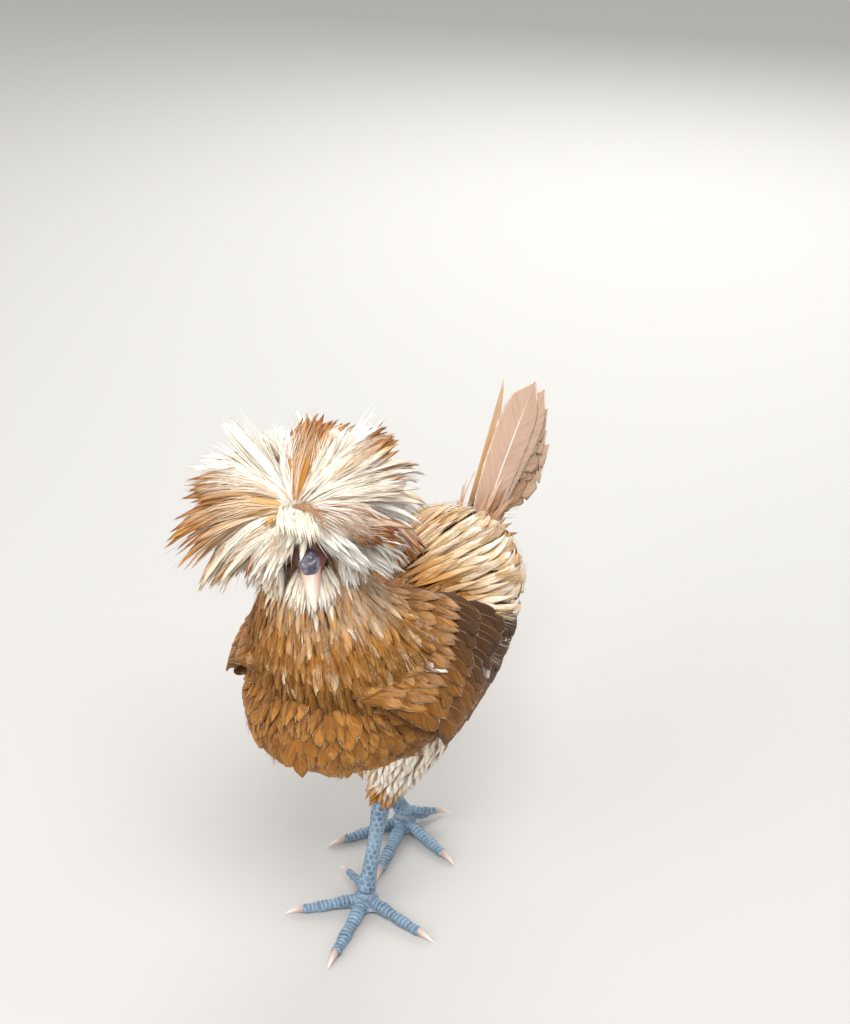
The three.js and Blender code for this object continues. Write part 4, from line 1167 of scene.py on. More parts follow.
def crest_coat():
    """Plumes over the whole crest, shortened until they end inside its outline, with hairs over some of them."""
    draw = random.Random(13)
    locks = [Lock(*place, draw) for place in spread_round_whorl(CREST_LOCKS)]
    centre = on_head(*CREST_CENTRE)
    whorl = centre + WHORL * 22
    parts = {"front": [], "left": [], "back": [], "right": [], "hairs": []}
    for way, away, theta in spread_round_whorl(CREST_PLUMES, draw):
        bearing, rise = turned_on_head(way)
        if rise < -34 or rise < 0 and abs(bearing) < 60 or theta < 9:
            continue
        lock = max(locks, key=lambda x: x.way.dot(way))
        s = smooth(theta, 8, 90)
        behind = theta + draw.gauss(0, 9) * smooth(theta, 80, 100)
        ahead = (crest_lean(way, away, behind) + lock.ahead * 0.8).normalized()
        root = centre + way * (CUSHION_RADIUS * max(crest_reach(bearing, rise), 0.6)) - away * (7 * (1 - s))
        outer = max(1 - s, smooth(behind, 100, 145))
        face = (way - ahead * way.dot(ahead)) * outer + (ahead * away.dot(ahead) - away) * (1 - outer)
        face.normalize()
        share = lock.reach * draw.uniform(0.76, 1.02)
        length = PLUME_LENGTH
        level = math.hypot(ahead.x, ahead.y)
        droop = 0.3 + 0.6 * smooth(30 - rise, 0, 30) * smooth(abs(sind(bearing)), 0.3, 0.8)
        curl = lock.curl + scatter(draw) * 0.045
        for _ in range(30):
            bend = (DOWN * (0.02 + droop * level * level) + curl) * length - way * (length * length / mix(300, 1500, s))
            tip = root + ahead * length + bend
            middle = root + ahead * (length * 0.6) + bend * 0.36
            near = (tip - centre).length < crest_limit(tip - centre) * share
            if near and not over_bill(tip) and not over_bill(middle):
                break
            length *= 0.95
        if length < 10:
            continue
        if not lock.tip:
            lock.tip = tip
        elif (lock.tip - tip).length < 34:
            bend += (lock.tip - tip) * draw.uniform(0.15, 0.6)
            tip = root + ahead * length + bend
        across = tip - whorl
        azimuth = math.degrees(math.atan2(across.dot(WHORL_TOP), across.dot(WHORL_LEFT)))
        colours = crest_colours(azimuth, smooth(theta, 95, 140), lock.luck, draw)
        end_face = (face + UP * 0.3 * s).normalized()
        made = Feather((root, ahead * length, bend, face, end_face), draw.uniform(6.5, 10) * mix(0.6, 1, length / 60),
                       colours, ((azimuth + 180) / 360, theta / 180), draw.random(), draw.gauss(0, 0.2),
                       draw.uniform(0.2, 1.3), 0.5)
        side = ("front" if abs(bearing) < 42 else "back" if abs(bearing) > 128 else "left" if bearing > 0 else
                "right")
        parts[side].append(made)
        if draw.random() < HAIR_SHARE:
            hairs = made.copy()
            stray = scatter(draw) * 0.05
            hairs.root = root + face * 0.9
            hairs.way = made.way * 0.94 - stray * length
            hairs.bend = bend * 0.88 + (face * 0.05 + curl * 0.5 + stray * 2) * length
            hairs.width *= 1.4
            if draw.random() < 0.1:
                hairs.ground, hairs.tip = BUFF, blend(GINGER, BROWN, draw.random())
            else:
                hairs.ground, hairs.tip = (blend(x, IVORY, 0.3) for x in (made.ground, made.tip))
            parts["hairs"].append(hairs)
    return parts


def forehead_curls():
    """The thin brown feather that curls from the whorl over the forehead, and the short pale tuft above the bill."""
    centre = on_head(*CREST_CENTRE)
    draw = random.Random(14)

    def at(out, left, top):
        return centre + WHORL * out + WHORL_LEFT * left + WHORL_TOP * top

    curls, tuft = [], []
    for k in range(5):
        a, middle, b = at(24, -1, 1 - k * 0.3), at(27, 15, 1 - k * 0.7), at(23, 24 + 0.5 * k, -20 + 2 * k)
        way, bend = through_three(a, middle, b)
        curls.append(Feather((a, way, bend, WHORL.copy(), WHORL.copy()), 4.5, (BUFF, blend(GINGER, BUFF, 0.5)),
                             (0.5, 0.02), draw.random()))
    for k in range(60):
        side, back = draw.uniform(-1, 1), draw.uniform(0, 1)
        a, b = at(20 + 2 * back, 2 + 8 * side, 5 - 8 * back), at(20, 6 + 12 * side, -13 - draw.uniform(0, 7) * back)
        middle = at(25, 3.5 + 10 * side, -3 - 4 * back)
        way, bend = through_three(a, middle, b)
        tuft.append(Feather((a, way, bend, WHORL.copy(), WHORL.copy()), draw.uniform(3, 5),
                            (blend(GREY_CREAM, CREAM, draw.random()), blend(CREAM, IVORY, draw.random())),
                            (0.5, 0.03), draw.random(), draw.gauss(0, 0.3)))
    return curls, tuft


PLUMES = shape_family("plume", 6, plume_shape)
BODY_SHAPES = shape_family("body_feather", 5, body_shape)
WISPS = shape_family("wisp", 6, wisp_shape)
HACKLES = shape_family("hackle", 5, hackle_shape)
DOWNS = shape_family("down", 4, down_shape)
COVERTS = shape_family("covert", 4, covert_shape)
FLIGHTS = shape_family("flight", 4, flight_shape)
TAILS = shape_family("tail_vane", 4, tail_shape)
TORN = shape_family("worn_tail_vane", 5, torn_shape)
SADDLES = shape_family("saddle_feather", 5, saddle_shape)


def cushion():
    """The dense down that the plumes stand in."""
    centre = on_head(*CREST_CENTRE)
    rings = []
    for r in range(25):
        rise = mix(-88, 88, r / 24)
        ring = []
        for i in range(40):
            way = head_way(cosd(rise) * cosd(9 * i), cosd(rise) * sind(9 * i), sind(rise))
            reach = (CUSHION_RADIUS + 1) * max(crest_reach(9 * i, rise), 0.6) + 1.5
            reach *= mix(0.5, 1, smooth(rise, -60, -20))
            reach -= 5 * smooth(way.dot(WHORL), 0.6, 0.95)
            ring.append(centre + way * (reach + 0.5 * noise.noise(way * 7)))
        rings.append(ring)
    points, faces = loft(rings)
    made = piece("crest_cushion", points, faces)
    outward(made.data, DOUBLES)
    finish, f, shader = start_material("down under the crest")
    place = f.node("ShaderNodeTexCoord").outputs["Object"]
    tufts = noise_of(f, place, 420.0, 4.0)
    f.feed(shader, {"Base Color": mixed(f, tufts, four(CREAM * 0.75), four(WHITE)), "Roughness": 0.85})
    bumped(f, shader, tufts, 0.6, 0.0008)
    settle(made, "crest_feather", finish)


def crest():
    cushion()
    parts = crest_coat()
    hairs = parts.pop("hairs")
    curls, tuft = forehead_curls()
    hairs += curls
    grow("forehead_tuft", tuft, DOWNS, DOWN_FINISH, "crest_feather", [], 0.1, 0.1)
    for name, own in parts.items():
        grow("crest_feathers_" + name, own, PLUMES, CREST_FINISH, "crest_feather", ["crest_" + name], 0.2, 0.1)
    grow("crest_hairs", hairs, WISPS, CREST_FINISH, "crest_feather", [], 0.1, 0.1)


# The beard and the muffs

RUFF_FEATHERS = 300
RUFF = {
    "beard": dict(at=(13, 0, -13), size=(15, 15, 10), around=(-66, 66)),
    "muff_left": dict(at=(4, 15, -8), size=(14, 11, 12), around=(5, 168)),
    "muff_right": dict(at=(4, -15, -8), size=(14, 11, 12), around=(-168, -5)),
}


def ruff(name):
    row = RUFF[name]
    at, size, around = row["at"], row["size"], row["around"]
    draw = random.Random(name)
    feathers = []
    for _ in range(RUFF_FEATHERS):
        bearing = draw.uniform(*around)
        rise = math.degrees(math.asin(draw.uniform(-0.9, 0.72)))
        way = Vector((cosd(rise) * cosd(bearing), cosd(rise) * sind(bearing), sind(rise)))
        root = on_head(*(a + 0.72 * s * w for a, s, w in zip(at, size, way)))
        out = head_way(*way)
        lie = (out * 0.5 + DOWN * 0.8 + head_way(0, 0.2 * way.y, 0)).normalized()
        length = draw.uniform(11, 18)
        shade = draw.random()
        ground = blend(GREY_CREAM, CREAM, shade)
        tip = blend(CREAM, WHITE, 0.5 * shade + 0.5 * smooth(out.x, 0, 0.6))
        if draw.random() < 0.06:
            tip = blend(tip, GOLD, 0.5)
        bend = DOWN * 0.3 * length - out * 0.12 * length + Vector((draw.gauss(0, 1), draw.gauss(0, 1), 0)) * 0.6
        feathers.append(Feather((root, lie * length, bend, out, (out + UP * 0.2).normalized()), draw.uniform(4.5, 7),
                                (ground, tip), ((bearing + 180) / 360, (rise + 70) / 140), draw.random(),
                                draw.gauss(0, 0.3), 0.8, 0.0))
    grow(name + "_feathers", feathers, DOWNS, DOWN_FINISH, "beard_feather", [name], 0.2, 0.1)


# The wings

WING_TIERS = (
    dict(roots=((0.3, -4), (0.5, 6)), tips=((0.5, -58), (0.68, -32)), count=7, width=15, lifts=(0.5, 3.0, 8)),
    dict(roots=((0.19, 14), (0.53, 32)), tips=((0.37, -38), (0.73, -2)), count=14, width=21, lifts=(1, 5.0, 7)),
    dict(roots=((0.16, 24), (0.47, 42)), tips=((0.27, -10), (0.6, 14)), count=13, width=19, lifts=(2, 7.6, 8.8)),
    dict(roots=((0.12, 38), (0.4, 58)), tips=((0.2, 6), (0.49, 31)), count=12, width=18, lifts=(2, 9.4, 10.4)),
    dict(roots=((0.1, 42), (0.36, 64)), tips=((0.17, 16), (0.44, 43)), count=20, width=14, lifts=(3, 9.6, 10.6)),
    dict(roots=((0.08, 48), (0.33, 72)), tips=((0.14, 27), (0.4, 54)), count=22, width=13, lifts=(2, 8.4, 9.6)),
    dict(roots=((0.07, 56), (0.3, 80)), tips=((0.12, 40), (0.36, 65)), count=22, width=12, lifts=(1, 6.4, 7.6)),
)
WING_TILT = 12
PALE_WING_FEATHERS = ((4, 6), (2, 7))


def wing(side, name):
    """Tiers of feathers on the left side of the trunk, mirrored for the right wing."""
    draw = random.Random(name)
    big, small, soft = [], [], []
    for k, tier in enumerate(WING_TIERS):
        for i in range(tier["count"]):
            share = i / (tier["count"] - 1)
            start = [mix(a, b, share) for a, b in zip(*tier["roots"])]
            end = [mix(a, b, share) for a, b in zip(*tier["tips"])]
            end[0] += draw.uniform(-0.01, 0.01)
            end[1] += draw.uniform(-2.5, 2.5)
            lifts = [x + draw.uniform(-0.3, 0.3) for x in tier["lifts"]]
            path = laid(trunk_point, start, end, lifts)
            # Painted shade: flights and coverts grow darker, with less gold at the tip, toward the rear of each tier,
            # where the wing lies in shadow.
            dark = smooth(share, 0.1, 0.8) if k < 4 else 0.0
            ground = blend(GINGER, BROWN_GINGER, mix(draw.random(), 1, dark))
            ground = blend(ground, BROWN, dark * draw.uniform(0.3, 0.8)) * mix(0.58, 0.36, dark)
            tip = blend(ground, GOLD, draw.uniform(0.1, 0.5) * (1 - 0.8 * dark))
            if k > 3:
                tip = blend(GOLD, BUFF, draw.random()) * 0.8
            if side > 0 and (k, i) in PALE_WING_FEATHERS:
                tip = blend(GREY_CREAM, WHITE, 0.8)
            lace = draw.uniform(0.75, 1.0) if k < 4 else draw.uniform(0.2, 0.8)
            made = Feather(path, tier["width"] * draw.uniform(0.94, 1.1), (ground, tip),
                           (start[0], (start[1] + 60) / 180), draw.random(), rad(WING_TILT) + draw.gauss(0, 0.05),
                           draw.uniform(0.7, 1.3), lace)
            (big if k < 2 else small if k < 4 else soft).append(made)
    if side < 0:
        for x in big + small + soft:
            for key in ("root", "way", "bend", "face_root", "face_tip"):
                value = getattr(x, key)
                setattr(x, key, Vector((-value.x, value.y, value.z)))
            x.twist = -x.twist
    grow(name + "_flights", big, FLIGHTS, WING_FINISH, "wing_feather", [name], 0.3, 0.12)
    grow(name + "_coverts", small, COVERTS, WING_FINISH, "wing_feather", [name], 0.3, 0.15)
    grow(name + "_small_coverts", soft, BODY_SHAPES, BODY_FINISH, "wing_feather", [name], 0.2, 0.1)


# The saddle

SADDLE_ROWS = ((0.42, 0.66, 35), (0.48, 0.74, 40), (0.55, 0.82, 42), (0.61, 0.9, 42), (0.67, 0.96, 40),
               (0.75, 1.0, 35), (0.84, 1.03, 25))


def saddle():
    draw = random.Random(91)
    feathers, hairs = [], []
    for r, (start, end, count) in enumerate(SADDLE_ROWS):
        for i in range(count):
            share = clamp(((i + 0.5) / count) * 2 - 1 + draw.uniform(-0.04, 0.04), -1, 1)
            tip = (end - 0.06 * abs(share) + draw.uniform(-0.04, 0.05), 90 - 122 * share + draw.uniform(-7, 7))
            lifts = (0.5, 4.0 + r * 0.5 + draw.uniform(-0.8, 1.0), 5.5 + draw.uniform(-2, 3.0))
            path = laid(trunk_point, (start, 90 - 74 * share), (min(tip[0], 0.995), tip[1]), lifts)
            streak = noise.noise(Vector((share * 1.6, start * 4, 7.0))) + 0.12 * (r > 3) + draw.gauss(0, 0.07)
            ground = blend(BROWN_GINGER, GOLD, draw.random())
            tip_colour = blend(GOLD, STRAW, draw.random())
            streak += 0.45 * (smooth(share, 0.0, 0.25) - smooth(share, 0.5, 0.75))
            light = smooth(streak, -0.05, 0.3)
            ground = blend(ground, STRAW, light)
            tip_colour = blend(tip_colour, blend(CREAM, WHITE, draw.random()), light)
            made = Feather(path, draw.uniform(6, 8.5), (ground, tip_colour), (start, share * 0.45 + 0.5), draw.random(),
                           draw.gauss(0, 0.3), draw.uniform(0.4, 1.4), 0.3)
            feathers.append(made)
            if draw.random() < 0.35:
                stray = made.copy()
                stray.root, stray.way = path[0] + path[3], path[1] * 1.08
                stray.bend = path[2] * 1.05 + path[4] * draw.uniform(0, 2.5)
                stray.tip = blend(STRAW, CREAM, draw.random())
                hairs.append(stray)
    grow("saddle_feathers", feathers, SADDLES, HACKLE_FINISH, "saddle_feather", ["saddle"], 0.2, 0.1)
    grow("saddle_hairs", hairs, WISPS, HACKLE_FINISH, "saddle_feather", [], 0.1, 0.1)


# The tail

TAIL_ROOT = Vector((0, 116, 186))
TAIL_RISE = 46
TAIL_LENGTH = 128
QUILL_SHARES = (1, 0.95, 0.88, 0.83, 0.77, 0.7)
TENT_LEAN = 62
TAIL_FAN = 5.6
TAIL_LAYER = 1.7
TAIL_WIDTH = 33


def tail_axes(side):
    ahead = Vector((0, cosd(TAIL_RISE), sind(TAIL_RISE)))
    front = Vector((0, -sind(TAIL_RISE), cosd(TAIL_RISE)))
    face = front * cosd(TENT_LEAN) + Vector((side, 0, 0)) * sind(TENT_LEAN)
    outer = ahead.cross(face) * side
    return ahead, face, outer if outer.x * side > 0 else -outer


def tail_feather(side, fan, length, width, depth, shift, colours, lace, draw):
    ahead, face, outer = tail_axes(side)
    way = ahead * cosd(fan) + outer * sind(fan)
    root = TAIL_ROOT - face * depth + outer * shift
    path = root, way * length, outer * 0.04 * length, face, face
    return Feather(path, width, colours, (0.5 + side * (0.05 + 0.06 * fan / 30), 0.5 + depth / 60), draw.random(),
                   draw.gauss(0, 0.03), 1.0, lace)


def tail():
    draw = random.Random(15)
    quills, worn_quills, coverts = [], [], []
    for side in (1, -1):
        for k, worn in enumerate(QUILL_SHARES):
            ground = blend(PINK_BUFF, BUFF, 0.2 * k * draw.uniform(0.6, 1.2)) * 0.8
            tip = blend(ground, CREAM, 0.06 * k)
            if side < 0:
                ground, tip = blend(GOLD, BUFF, 0.15 * k), blend(GOLD, CREAM, 0.35)
            made = tail_feather(side, 2 + TAIL_FAN * k + (5 if side < 0 else 0),
                                TAIL_LENGTH * worn * draw.uniform(0.97, 1.03), TAIL_WIDTH - k, 2 + TAIL_LAYER * k,
                                TAIL_WIDTH * 0.5, (ground, tip), 0.9, draw)
            (quills if k < 2 else worn_quills).append(made)
        for k in range(14):
            ground = blend(GINGER, BUFF, draw.random())
            made = tail_feather(side, 2 + 6 * k, (52 - 2 * k) * draw.uniform(0.7, 1.1), 11,
                                -1 - TAIL_LAYER * (3 - 0.4 * k), 5 + 1.2 * k,
                                (ground, blend(ground, PINK_BUFF, draw.random())), 0.3, draw)
            made.bend = made.bend + made.face_root * draw.uniform(-4, 3)
            coverts.append(made)
    grow("tail_quills", quills, TAILS, TAIL_FINISH, "tail_feather", ["tail"], 0.4, 0.08)
    grow("tail_quills_worn", worn_quills, TORN, TAIL_FINISH, "tail_feather", ["tail"], 0.4, 0.08)
    grow("tail_coverts", coverts, SADDLES, HACKLE_FINISH, "tail_feather", ["tail"], 0.3, 0.2)


# The legs

LEGS = {
    "left": dict(side=1, hip=(29, 4, 136), hock=(7, -16, 71), foot=(8, -45),
                 bearings=dict(inner=-55, middle=4, outer=76, hind=-140, upper_hind=-122)),
    "right": dict(side=-1, hip=(-28, 20, 136), hock=(-12, 6, 72), foot=(-3, 34),
                  bearings=dict(inner=-65, middle=-7, outer=42, hind=-140, upper_hind=-122)),
}
THIGH_ROWS = 18
THIGH_RADII = ((0, 22, 30), (0.2, 24, 32), (0.42, 21, 27), (0.64, 17, 20), (0.84, 12, 14), (1, 9.2, 10.4),
               (1.1, 6.4, 7))
SHANK_RADII = ((0, 6.2, 6.8), (0.2, 5.6, 6.4), (0.4, 4.6, 5.3), (0.6, 4.4, 4.9), (0.8, 4.9, 5.1), (1, 6, 6))


def limb_frame(start, end):
    axis = end - start
    length = axis.length
    axis.normalize()
    across = (Vector((1, 0, 0)) - axis * axis.x).normalized()
    ahead = axis.cross(across)
    return axis, length, across, -ahead if ahead.y > 0 else ahead


def limb_surface(start, end, radii, share, angle, lift=0.0):
    """A place on a tapered limb and the way out of it: angle 0 at the bird's left, 90 ahead."""
    axis, length, across, ahead = limb_frame(start, end)
    places = [k[0] for k in radii]
    wide, deep = (along(places, [k[i] for k in radii], share) for i in (1, 2))
    out = (across * cosd(angle) / wide + ahead * sind(angle) / deep).normalized()
    p = start + axis * length * share + across * (wide * cosd(angle)) + ahead * (deep * sind(angle))
    return p + out * lift, out, axis


def thigh_surface(leg, share, angle, lift):
    return limb_surface(Vector(leg["hip"]), Vector(leg["hock"]), THIGH_RADII, share, angle, lift)


def thigh(name):
    leg = LEGS[name]
    draw = random.Random("thigh " + name)
    feathers = []
    for r in range(THIGH_ROWS):
        share = mix(-0.05, 1.0, (r + 0.5) / THIGH_ROWS)
        count = int(mix(30, 15, clamp(share)))
        for i in range(count):
            angle = 360 * (i + 0.5 * (r % 2) + draw.uniform(-0.3, 0.3)) / count
            root, n, axis = thigh_surface(leg, share, angle, -2.0)
            if in_trunk(root) < 0.85:
                continue
            flow = (axis + Vector((0, 0.25, 0))).normalized()
            length = mix(19, 11, clamp(share)) * draw.uniform(0.85, 1.15)
            path = flowing(root, n, flow, length, 2.2, 60, draw, 0.16)
            hock = smooth(share + draw.gauss(0, 0.05), 0.7, 0.92)
            ground = blend(blend(GREY_CREAM, CREAM, draw.random()), GOLD, hock)
            tip = blend(blend(CREAM, WHITE, draw.random()), blend(GOLD, GINGER, draw.random()), hock)
            feathers.append(Feather(path, mix(8.5, 5.5, clamp(share)), (ground, tip),
                                    (clamp(share), (angle % 360) / 360), draw.random(), draw.gauss(0, 0.25),
                                    draw.uniform(0.3, 1.2), 0.0))
    grow(f"thigh_feathers_{name}", feathers, DOWNS, DOWN_FINISH, "thigh_feather", ["thigh_" + name], 0.2, 0.1)


# Bare legs: the shank, the foot and the webs are one scaly hide

TOES = {
    "inner": dict(length=41, radius=4, rise=0, carried=0),
    "middle": dict(length=50, radius=4.4, rise=0, carried=0),
    "outer": dict(length=44, radius=4, rise=0, carried=0),
    "hind": dict(length=17, radius=3.3, rise=3, carried=2),
    "upper_hind": dict(length=22, radius=3, rise=0, carried=9),
}
TOE_TAPER = 0.26
CLAW = 12
PAD_HEIGHT = 12
SCALE_SHADES = 997


def toe_way(leg, name):
    bearing = rad(leg["side"] * leg["bearings"][name])
    return Vector((math.sin(bearing), -math.cos(bearing), 0))


def toe_middle(leg, name, t):
    toe = TOES[name]
    drop = toe["radius"] * (1 - TOE_TAPER * t)
    root = (6.5 - drop + toe["rise"]) * (1 - t) ** 2
    p = Vector((*leg["foot"], 0)) + toe_way(leg, name) * (1 + toe["length"] * t)
    return Vector((p.x, p.y, drop * 0.86 + root + toe["carried"]))


def toe_radius(name, t):
    return TOES[name]["radius"] * (1 - TOE_TAPER * t) * (1 + 0.1 * math.cos(6 * math.pi * t))


def flat_ring(middle, across, wide, tall, count, floor=0.0):
    ring = []
    for side, up in circle(count):
        p = middle + across * (wide * side)
        ring.append(Vector((p.x, p.y, max(middle.z + tall * up, floor))))
    return ring


def toe_rings(leg, name):
    across = toe_way(leg, name).cross(UP)
    rings = []
    for r in range(29):
        t = r / 28
        wide = toe_radius(name, t) * (1 if r < 27 else 0.8 if r < 28 else 0.45)
        rings.append(flat_ring(toe_middle(leg, name, t), across, wide, wide, 18))
    return rings


def web_rings(leg, a, b):
    """The skin between the roots of two toes: a thin, hollowed fan."""
    rings = []
    foot = Vector((*leg["foot"], 0))
    for r in range(9):
        t = r / 8
        way = toe_way(leg, a).lerp(toe_way(leg, b), t)
        reach = 19 * (1 - 0.36 * math.sin(math.pi * t))
        tall = 1.3 + 0.9 * abs(2 * t - 1)
        ring = []
        for out, up in circle(12):
            p = foot + way * (reach * (0.5 + 0.5 * out))
            ring.append(Vector((p.x, p.y, 2.2 + tall * up)))
        rings.append(ring)
    return rings


def cell(a, b, size):
    """The scale that a place lies in, on a staggered grid: how far in from its edge, 0 to 1, and its number."""
    best = []
    row = round(b / (size * 0.86))
    for r in (row - 1, row, row + 1):
        offset = 0.5 * (r % 2)
        column = round(a / size - offset)
        for c in (column - 1, column, column + 1):
            jog = noise.noise(Vector((c * 3.7, r * 5.1, size))) * 0.5 * size
            da, db = a - (c + offset) * size - jog, b - r * size * 0.86 + jog * 0.6
            best.append((math.hypot(da, db), c * 31 + r * 17))
    best.sort()
    return clamp((best[1][0] - best[0][0]) / (size * 0.55)), best[0][1]


def scale_at(leg, p, n):
    """The plate or grain that covers a place on the leg: its profile, number and how raised it is."""
    hock, low = Vector(leg["hock"]), Vector((*leg["foot"], PAD_HEIGHT))
    axis, length, across, ahead = limb_frame(hock, low)
    from_top = (p - hock).dot(axis)
    if p.z > PAD_HEIGHT + 3:
        turn = math.atan2((p - hock - axis * from_top).dot(ahead), (p - hock - axis * from_top).dot(across))
        front = turn - math.pi / 2
        if abs(front) < 1.25:
            edge, number = cell(front * 5.4 + 0.9, from_top, 4.1)
            return edge, number, 1.0, 0.0
        back = abs(abs(front) - math.pi)
        edge, number = cell(front * 5.4, from_top, 2.9 if back < 0.6 else 2.3)
        return edge, number, 0.55, 0.0
    flat = Vector((p.x, p.y, 0)) - Vector((*leg["foot"], 0))
    best = None
    for name in TOES:
        way = toe_way(leg, name)
        t = clamp((flat.dot(way) - 1) / TOES[name]["length"])
        off = (p - toe_middle(leg, name, t)).length / toe_radius(name, t)
        if best is None or off < best[0]:
            best = off, name, t, way
    off, name, t, way = best
    sideways = flat.dot(way.cross(UP))
    webbed = smooth(off, 1.25, 1.6) if flat.length < 24 and name in ("inner", "middle", "outer") else 0.0
    if n.z > 0.25 and off < 1.3 and flat.length > 6:
        at = flat.dot(way) / 2.7 + abs(sideways) * 0.05 + 0.3 * noise.noise(Vector((flat.x, flat.y, 0)) * 0.3)
        edge = clamp(2.6 * (0.5 - abs(at % 1 - 0.5)))
        return edge, int(math.floor(at)) * 7 + len(name), 1.0, webbed
    edge, number = cell(sideways * 1.2 + p.z * 0.8, flat.dot(way) + p.z * 0.4, 1.9)
    return edge, number, 0.5 * (1 - webbed), webbed


def hide_finish():
    finish, f, shader = start_material("slate blue scales")
    place = f.node("ShaderNodeTexCoord").outputs["Object"]
    fine = noise_of(f, place, 900.0, 3.0)
    broad = noise_of(f, place, 90.0, 3.0)
    plate = attribute(f, "plate", "Fac")
    number = attribute(f, "number", "Fac")
    worn = f.number("ADD", plate, f.times(f.number("SUBTRACT", fine, 0.5), 0.5))
    inner = ramp_between(f, worn, 0.25, 0.75)
    dark = mixed(f, number, (0.07, 0.115, 0.17, 1), (0.13, 0.205, 0.29, 1))
    dark = mixed(f, ramp_between(f, broad, 0.35, 0.75), dark, (0.2, 0.3, 0.4, 1))
    edges = mixed(f, ramp_between(f, broad, 0.3, 0.6), (0.18, 0.27, 0.36, 1), (0.27, 0.39, 0.5, 1))
    colour = mixed(f, inner, edges, dark)
    colour = mixed(f, attribute(f, "webbed", "Fac"), colour, (0.42, 0.4, 0.47, 1))
    colour = mixed(f, ramp_between(f, broad, 0.66, 0.8), colour, (0.4, 0.34, 0.28, 1))
    f.feed(shader, {"Base Color": colour, "Roughness": f.number("MULTIPLY_ADD", fine, 0.25, 0.34)})
    bumped(f, shader, f.number("ADD", f.times(fine, 0.5), inner), 0.35, 0.0002)
    return finish


def leg_hide(name, finish):
    leg = LEGS[name]
    hock, low = Vector(leg["hock"]), Vector((*leg["foot"], PAD_HEIGHT))
    shank = [[limb_surface(hock, low, SHANK_RADII, mix(-0.06, 1.0, r / 30), 15 * i)[0] for i in range(24)]
             for r in range(31)]
    pad = [[Vector((leg["foot"][0] + w * 8.0 * cosd(15 * i), leg["foot"][1] + w * 8.5 * sind(15 * i),
                    max(z, 0.0))) for i in range(24)]
           for w, z in ((math.sin(math.pi * clamp(r / 12, 0.02, 0.98)), 5.6 - 6.6 * math.cos(math.pi * r / 12))
                        for r in range(13))]
    groups = [shank, pad] + [toe_rings(leg, toe) for toe in TOES]
    groups += [web_rings(leg, "inner", "middle"), web_rings(leg, "middle", "outer")]
    body = joined_lofts("leg_hide_" + name, groups, 0.62, 3)
    made = body.data
    draw = random.Random("scales")
    shades = [draw.random() for _ in range(SCALE_SHADES)]
    plates, numbers, webs, places = [], [], [], []
    for p, n in [(in_millimetres(v.co), v.normal.copy()) for v in made.vertices]:
        edge, number, raised, webbed = scale_at(leg, p, n)
        plates.append(edge if webbed < 0.5 else 1.0)
        numbers.append(shades[number % SCALE_SHADES])
        webs.append(webbed)
        lift = (smooth(edge, 0.0, 0.6) - 0.6) * 0.5 * raised
        if p.z < 0.8 and n.z < -0.5:
            lift = 0
        p = p + n * lift
        places.append(in_metres((p.x, p.y, max(p.z, 0.0))))
    made.vertices.foreach_set("co", floats(places))
    for key, values in (("plate", plates), ("number", numbers), ("webbed", webs)):
        store(made, key, values)
    settle(body, "scale_skin", finish, "shank_" + name, "foot_" + name)


def horn_finish(name, low, high, roughness=0.32):
    """Horn that pales to its tip, with fine growth lines along it."""
    finish, f, shader = start_material(name)
    along_horn, across, round_ = f.split(attribute(f, "grown"))
    stretched = f.joined(f.times(along_horn, 3.0), f.times(across, 9.0), round_)
    lines = noise_of(f, stretched, 1.6, 4.0)
    fine = noise_of(f, f.node("ShaderNodeTexCoord").outputs["Object"], 1100.0, 2.0)
    pale = ramp_between(f, f.number("ADD", along_horn, f.times(lines, 0.3)), 0.2, 1.05)
    colour = mixed(f, pale, four(low), four(high))
    colour = mixed(f, ramp_between(f, lines, 0.55, 0.8), colour, four(low * 0.72))
    f.feed(shader, {
        "Base Color": colour, "Roughness": f.number("MULTIPLY_ADD", lines, 0.2, roughness - 0.08),
        "Subsurface Weight": 0.12, "Subsurface Radius": (0.002, 0.001, 0.0007)})
    bumped(f, shader, f.number("ADD", lines, f.times(fine, 0.4)), 0.25, 0.0002)
    return finish


def horn_piece(name, rings, finish, slot, node):
    points, faces = loft(rings)
    made = piece(name, points, faces)
    sides = len(rings[0])
    grown = [(r / (len(rings) - 1), math.sin(math.pi * i / sides), i / sides) for r in range(len(rings))
             for i in range(sides)]
    store_ways(made.data, "grown", grown)
    outward(made.data)
    settle(made, slot, finish, node)


def claws(name, finish):
    leg = LEGS[name]
    for toe, row in TOES.items():
        way = toe_way(leg, toe)
        across, tip, radius = way.cross(UP), toe_middle(leg, toe, 1), row["radius"] * 0.62
        rings = []
        for r in range(17):
            t = r / 16
            wide = radius * max(1 - t, 0.0) ** 0.8 + 0.3 * (1 - 0.5 * t)
            drop = (tip.z - 0.7 - row["carried"] * 0.6) * t * t
            middle = tip + way * (-1.5 + CLAW * t) + Vector((0, 0, 0.6 * (1 - t) - drop))
            rings.append(flat_ring(middle, across, wide * 0.75, wide, 14, 0.1))
        horn_piece(f"claw_horn_{toe}_{name}", rings, finish, "claw_horn", f"claw_{toe}_{name}")


# The bare head: skin, lids, comb, nostrils, bill and eyes

